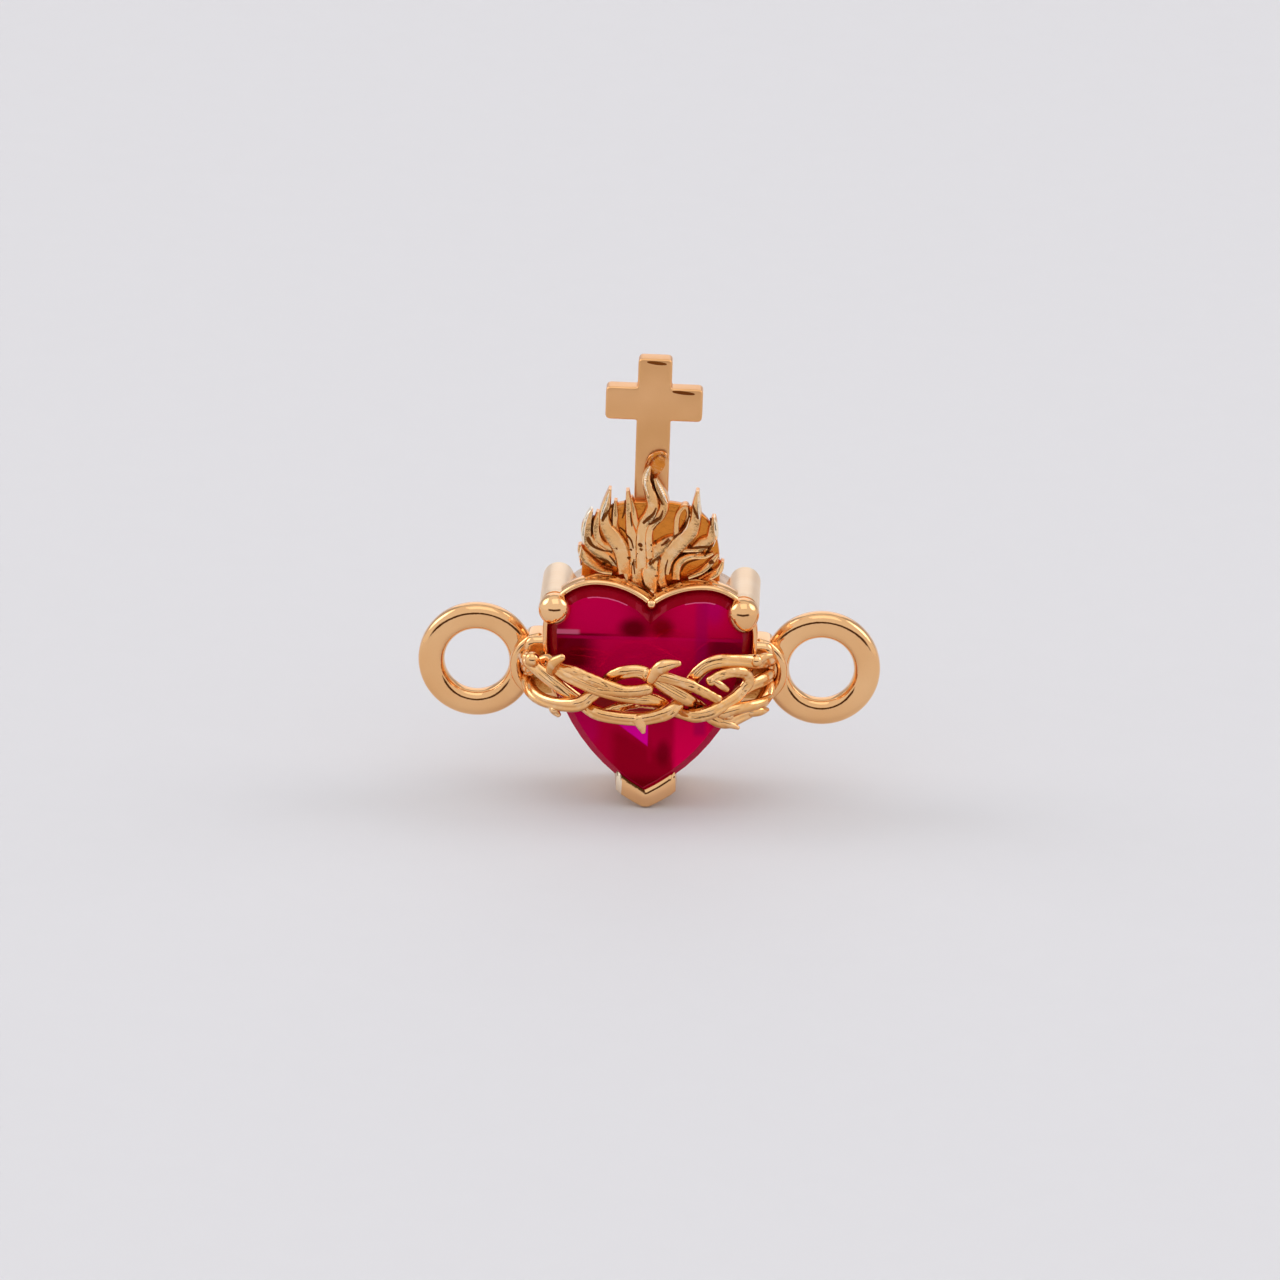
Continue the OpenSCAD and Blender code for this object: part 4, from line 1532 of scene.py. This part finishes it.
@dataclass
class Studio:
    """Pale sweep, soft lamps, a plain surround and the camera at the photograph's angle."""

    azimuth: float = 1.45
    elevation: float = 18.7
    roll: float = 1.06
    distance: float = 200.0
    frame_width: float = 31.37
    aside: float = -0.235
    above: float = -1.292
    sky: Colour = (0.84, 0.84, 0.86)
    window: Colour = (2.0, 2.0, 2.1)
    dark: Colour = (0.07, 0.035, 0.015)
    half_floor: float = 0.9
    bend: float = 0.25

    # Ways towards the middles of the two windows
    WINDOWS = ((-0.78, 0.22, 0.58), (0.78, 0.22, 0.58))
    # Each lamp's name, place and side in metres and power in watts
    LAMPS = (
        ("soft_top", (0.02, -0.1, 0.36), 0.26, 0.11), ("soft_left", (-0.27, 0.03, 0.2), 0.12, 0.065),
        ("soft_right", (0.27, 0.03, 0.2), 0.12, 0.055), ("soft_back", (0.0, 0.34, 0.16), 0.26, 0.13))

    def camera(self) -> None:
        """Places the camera and makes it the scene's."""
        a, e, r = (math.radians(v) for v in (self.azimuth, self.elevation, self.roll))
        back = Vector((math.sin(a) * math.cos(e), -math.cos(a) * math.cos(e), math.sin(e)))
        level = Vector((math.cos(a), math.sin(a), 0.0))
        upright = back.cross(level)
        right, up = level * math.cos(r) + upright * math.sin(r), upright * math.cos(r) - level * math.sin(r)
        data = bpy.data.cameras.new("camera")
        data.sensor_width = 36.0
        data.lens = data.sensor_width * self.distance / self.frame_width
        data.clip_start = 0.01
        data.clip_end = 20.0
        cam = place("camera", data)
        spot = (ORIGIN + right * self.aside + up * self.above + back * self.distance) * MM
        cam.matrix_world = Matrix.Translation(spot) @ Matrix((right, up, back)).transposed().to_4x4()
        bpy.context.scene.camera = cam

    def lamp(self, name: str, spot: Point, size: float, power: float) -> None:
        """Adds one soft square lamp that faces the pendant.

        Args:
            name: the lamp's name.
            spot: its place, in metres.
            size: its side, in metres.
            power: its power, in watts.
        """
        data = bpy.data.lights.new(name, "AREA")
        data.size = size
        data.energy = power
        obj = place(name, data)
        obj.location = spot
        obj.rotation_euler = (Vector(spot) - Vector((0, 0, 0.005))).to_track_quat("Z", "Y").to_euler()

    def sweep(self, material: Material) -> None:
        """Builds the paper sweep: a floor that curves up into a backdrop.

        Args:
            material: the paper.
        """
        flat = 0.35
        line: list[Flat] = [(-0.6, 0.0), (0.0, 0.0), (flat, 0.0)]
        for i in range(1, 17):
            a = math.radians(90 * i / 16)
            line.append((flat + self.bend * math.sin(a), self.bend - self.bend * math.cos(a)))
        line.append((flat + self.bend, 1.0))
        n = len(line)
        mesh = bpy.data.meshes.new("paper_sweep")
        mesh.from_pydata([(x, y, z) for x in (-self.half_floor, self.half_floor) for y, z in line], [],
                         [(n + i, n + i + 1, i + 1, i) for i in range(n - 1)])
        for face in mesh.polygons:
            face.use_smooth = True
        mesh.materials.append(material)
        obj = place("paper_sweep", mesh)

    def surround(self) -> None:
        """Lights the scene from all round, with a dark band low in front where the photographer stands."""
        world = bpy.data.worlds.new("studio")
        bpy.context.scene.world = world
        world.use_nodes = True
        n = Nodes(world.node_tree)
        toward = n.add("TexCoord").outputs["Generated"]
        edges = (("Z", -0.02, 0.02), ("Z", 0.27, 0.19), ("Y", -0.62, -0.8))
        band = n.product([n.span(n.part(toward, axis), start, end) for axis, start, end in edges])
        colour: Socket | Colour = self.sky
        for window in self.WINDOWS:
            pane = n.span(n.dot(toward, Vector(window).normalized()), 0.93, 0.95)
            colour = n.mix(pane, colour, self.window)
        n.fill(world.node_tree.nodes["Background"], Color=n.mix(band, colour, self.dark), Strength=1.0)

    def make(self, paper: Material) -> None:
        """Builds the whole studio.

        Args:
            paper: the sweep's material.
        """
        self.camera()
        self.sweep(paper)
        self.surround()
        for lamp in self.LAMPS:
            self.lamp(*lamp)


@dataclass
class Pendant:
    """All the pieces of the pendant with their finishes."""

    heart: Heart = field(default_factory=Heart)

    # Patches of painted light and shade in the stone, from the back to the front
    LIGHT_AND_SHADE = (
        Facet((0.17, 0.0, 0.0), 0.85, middle=(0.05, -0.28), radii=(1.4, 0.95)),
        Facet((0.68, 0.0, 0.08), 0.95, middle=(-1.24, -0.63), radii=(1.52, 0.98)),
        Facet((0.68, 0.0, 0.07), 0.95, middle=(1.28, -0.55), radii=(1.52, 0.98)),
        Facet((0.5, 0.0, 0.15), 0.6, middle=(1.6, -0.36), radii=(0.39, 0.67)),
        Facet((0.11, 0.0, 0.0), 0.95, middle=(-0.36, -0.99), radii=(0.54, 0.41)),
        Facet((0.2, 0.0, 0.0), 0.9, middle=(0.33, -0.94), radii=(0.44, 0.36)),
        Facet((0.25, 0.0, 0.01), 0.8, sides=((-2.03, -0.8, 0, 0.39), (-1.19, -1.14, -90, 0.07))),
        Facet((0.35, 0.0, 0.02), 0.7, sides=((2.19, -0.68, 180, 0.39), (1.27, -1.18, -90, 0.07))),
        Facet((0.1, 0.0, 0.002), 0.9, sides=((-0.7, -1.13, 90, 0.07), (-0.19, -2.1, -90, 0.49),
              (-0.89, -1.55, 0, 1.23))),
        Facet((0.15, 0.0, 0.016), 0.8, sides=((1.27, -1.18, 90, 0.07), (1.28, -1.95, -90, 0.34),
              (1.32, -1.48, 180, 0.98))),
        Facet((0.68, 0.0, 0.075), 0.9, sides=((-0.2, -1.27, 90, 0.05), (-0.19, -2.2, -90, 0.49),
              (-1.38, -1.56, 180, 0.64), (1.27, -1.49, 0, 0.74))),
        Facet((0.78, 0.0, 0.12), 0.5, sides=((-0.2, -1.19, 90, 0.04), (-0.2, -1.27, -90, 0.04),
              (2.25, -1.2, 0, 0.98), (-2.16, -1.32, 180, 1.47))),
        Facet((0.75, 0.16, 0.3), 0.85, sides=((-2.17, -1.04, 90, 0.05), (-2.17, -1.16, -90, 0.04),
              (-1.7, -1.05, 0, 0.12))),
        Facet((0.62, 0.0, 0.1), 0.85, sides=((-1.15, -3.16, 90, 0.25), (-1.19, -3.75, 0, 0.34),
              (-1.38, -4.02, -60, 0.39))),
        Facet((0.34, 0.0, 0.012), 0.9, sides=((-0.16, -3.91, 60, 0.34), (-0.84, -4.39, 180, 0.39),
              (0.73, -4.35, 0, 0.34), (-0.16, -3.6, 90, 0.39))),
        Facet((0.95, 0.0, 0.1), 0.9, sides=((0.68, -3.83, 180, 0.20), (1.06, -3.2, 90, 0.25),
              (0.55, -4.92, -120, 0.34), (1.61, -3.81, 0, 0.29))),
        Facet((0.5, 0.0, 0.03), 0.6, sides=((0.02, -4.2, 180, 0.1), (0.14, -4.2, 0, 0.1),
              (0.1, -4.45, -90, 0.2), (0.1, -3.8, 90, 0.3))),
        Facet((0.17, 0.0, 0.004), 0.8, middle=(0.42, -4.2), radii=(0.26, 0.5)),
        Facet((0.16, 0.0, 0.0), 0.9, sides=((-0.14, -4.84, 90, 0.34),)),
        Facet((0.42, 0.0, 0.1), 0.6, sides=((1.16, -3.35, 180, 0.15), (1.45, -3.34, 0, 0.15),
              (1.31, -3.71, -90, 0.20))),
        Facet((1.0, 0.0, 0.46), 0.98, sides=((0.03, -3.85, 0, 0.04), (-0.41, -3.69, -127, 0.05),
              (-0.18, -3.3, 90, 0.06))),
        Facet((0.2, 0.02, 0.004), 0.85, sides=((-0.2, -3.28, -90, 0.08), (-0.2, -2.6, 90, 0.1),
              (-1.3, -2.8, 180, 0.2), (0.9, -2.8, 0, 0.3))),
        Facet((0.62, 0.2, 0.02), 0.8, middle=(0.0, -2.86), radii=(0.5, 0.16)),
    )
    GOLDS = (
        GoldFinish("gold_polished"),
        # Painted highlight for the prong posts
        GoldFinish("gold_post_highlight", light=(0.98, 0.81, 0.63), deep=(0.93, 0.7, 0.48), gloss=0.4, bump=0.3),
        GoldFinish("gold_satin", light=(0.91, 0.51, 0.238), deep=(0.77, 0.4, 0.16), gloss=0.26, spread=0.14,
                   bump=0.35, scale=0.9),
        # Relief: painted shade deeper back, on faces that look down and in hollows, and painted highlight on
        # sharp edges
        GoldFinish("gold_relief", light=(1.0, 0.64, 0.31), deep=(0.9, 0.48, 0.18), far=(0.74, 0.25, 0.035),
                   edge=(1.0, 0.76, 0.5), reach=(0.71, 0.76), gloss=0.17, spread=0.14, bump=0.5, scale=1.6,
                   amount=0.35, under=0.5),
        # Painted highlight for the flame ridges and the claw's end
        GoldFinish("gold_rim_highlight", light=(1.0, 0.88, 0.7), deep=(0.98, 0.8, 0.58), gloss=0.16, bump=0.1),
        # Painted shade in the flame grooves and pits, and painted dark reflection on the cross
        GoldFinish("gold_painted_dark", light=(0.26, 0.08, 0.014), deep=(0.17, 0.045, 0.01), gloss=0.45, bump=0.1),
        # Cast crown: painted shade on faces that look down and in hollows, and painted highlight on sharp
        # edges
        GoldFinish("gold_cast", light=(1.0, 0.59, 0.27), deep=(0.88, 0.46, 0.16), hollow=(0.5, 0.17, 0.02),
                   edge=(1.0, 0.76, 0.5), gloss=0.07, spread=0.12, bump=0.3, scale=1.3, amount=0.3,
                   under=0.75),
        # Painted shade for the lugs' front faces
        GoldFinish("gold_shaded", light=(0.7, 0.36, 0.12), deep=(0.58, 0.25, 0.06), gloss=0.22, bump=0.8,
                   scale=2.0),
    )
    RUBIES = (
        RubyFinish(facets=LIGHT_AND_SHADE),
        # Painted highlight along the table's edge over the lobes, then darker copies of the ruby as painted
        # shade on the upper and the lower crown facets
        RubyFinish("ruby_edge_highlight", body=(0.75, 0.1, 0.25), silk=(0.85, 0.16, 0.32)),
        RubyFinish("ruby_upper_facet_shade", body=(0.2, 0.0, 0.002), silk=(0.3, 0.0, 0.012), index=1.3, clear=0.0),
        RubyFinish("ruby_lower_facet_shade", body=(0.4, 0.0, 0.035), silk=(0.5, 0.0, 0.05), index=1.12, clear=0.0),
    )

    def dress(self, obj: Object, slot: str, node: str, *finishes: Material) -> None:
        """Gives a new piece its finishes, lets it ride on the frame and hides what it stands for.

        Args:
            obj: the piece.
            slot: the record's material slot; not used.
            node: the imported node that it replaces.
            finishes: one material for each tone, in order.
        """
        for finish in finishes:
            obj.data.materials.append(finish)
        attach(obj, "root")
        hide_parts(node)
        log.info("%s: %d faces", obj.name, len(obj.data.polygons))

    def make(self) -> None:
        """Builds and dresses every piece."""
        groups = Groups()
        polished, post_highlight, satin, relief, rim_highlight, painted_dark, cast, shaded = (gold.make(groups) for gold in self.GOLDS)
        rubies = [ruby.make() for ruby in self.RUBIES]
        loops, prongs, crown = Loops(), Prongs(), Crown()
        for side in Side:
            name = side.name.lower()
            self.dress(loops.make(side), "gold", f"loop_{name}", polished)
            self.dress(prongs.make(side), "gold", f"prong_{name}", polished, post_highlight)
        self.dress(TipClaw(self.heart).make(), "gold", "tip_prong", polished, rim_highlight)
        self.dress(Gallery(self.heart).make(), "gold", "gallery", polished, post_highlight, shaded)
        self.dress(Cross().make(), "gold", "cross", satin, rim_highlight, painted_dark)
        self.dress(Flames().make(), "gold", "flames", relief, rim_highlight, painted_dark)
        for number in (1, 2, 3):
            self.dress(crown.make(number), "gold", f"thorn_strand_{number}", cast)
        self.dress(Stone(self.heart).make(), "ruby", "heart_stone", *rubies)


def main() -> None:
    """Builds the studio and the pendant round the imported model."""
    logging.basicConfig(level=logging.INFO, format="%(name)s: %(message)s")
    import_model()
    bpy.context.scene.view_settings.view_transform = "Standard"
    Studio().make(PaperFinish().make())
    Pendant().make()


if __name__ == "__main__":
    main()
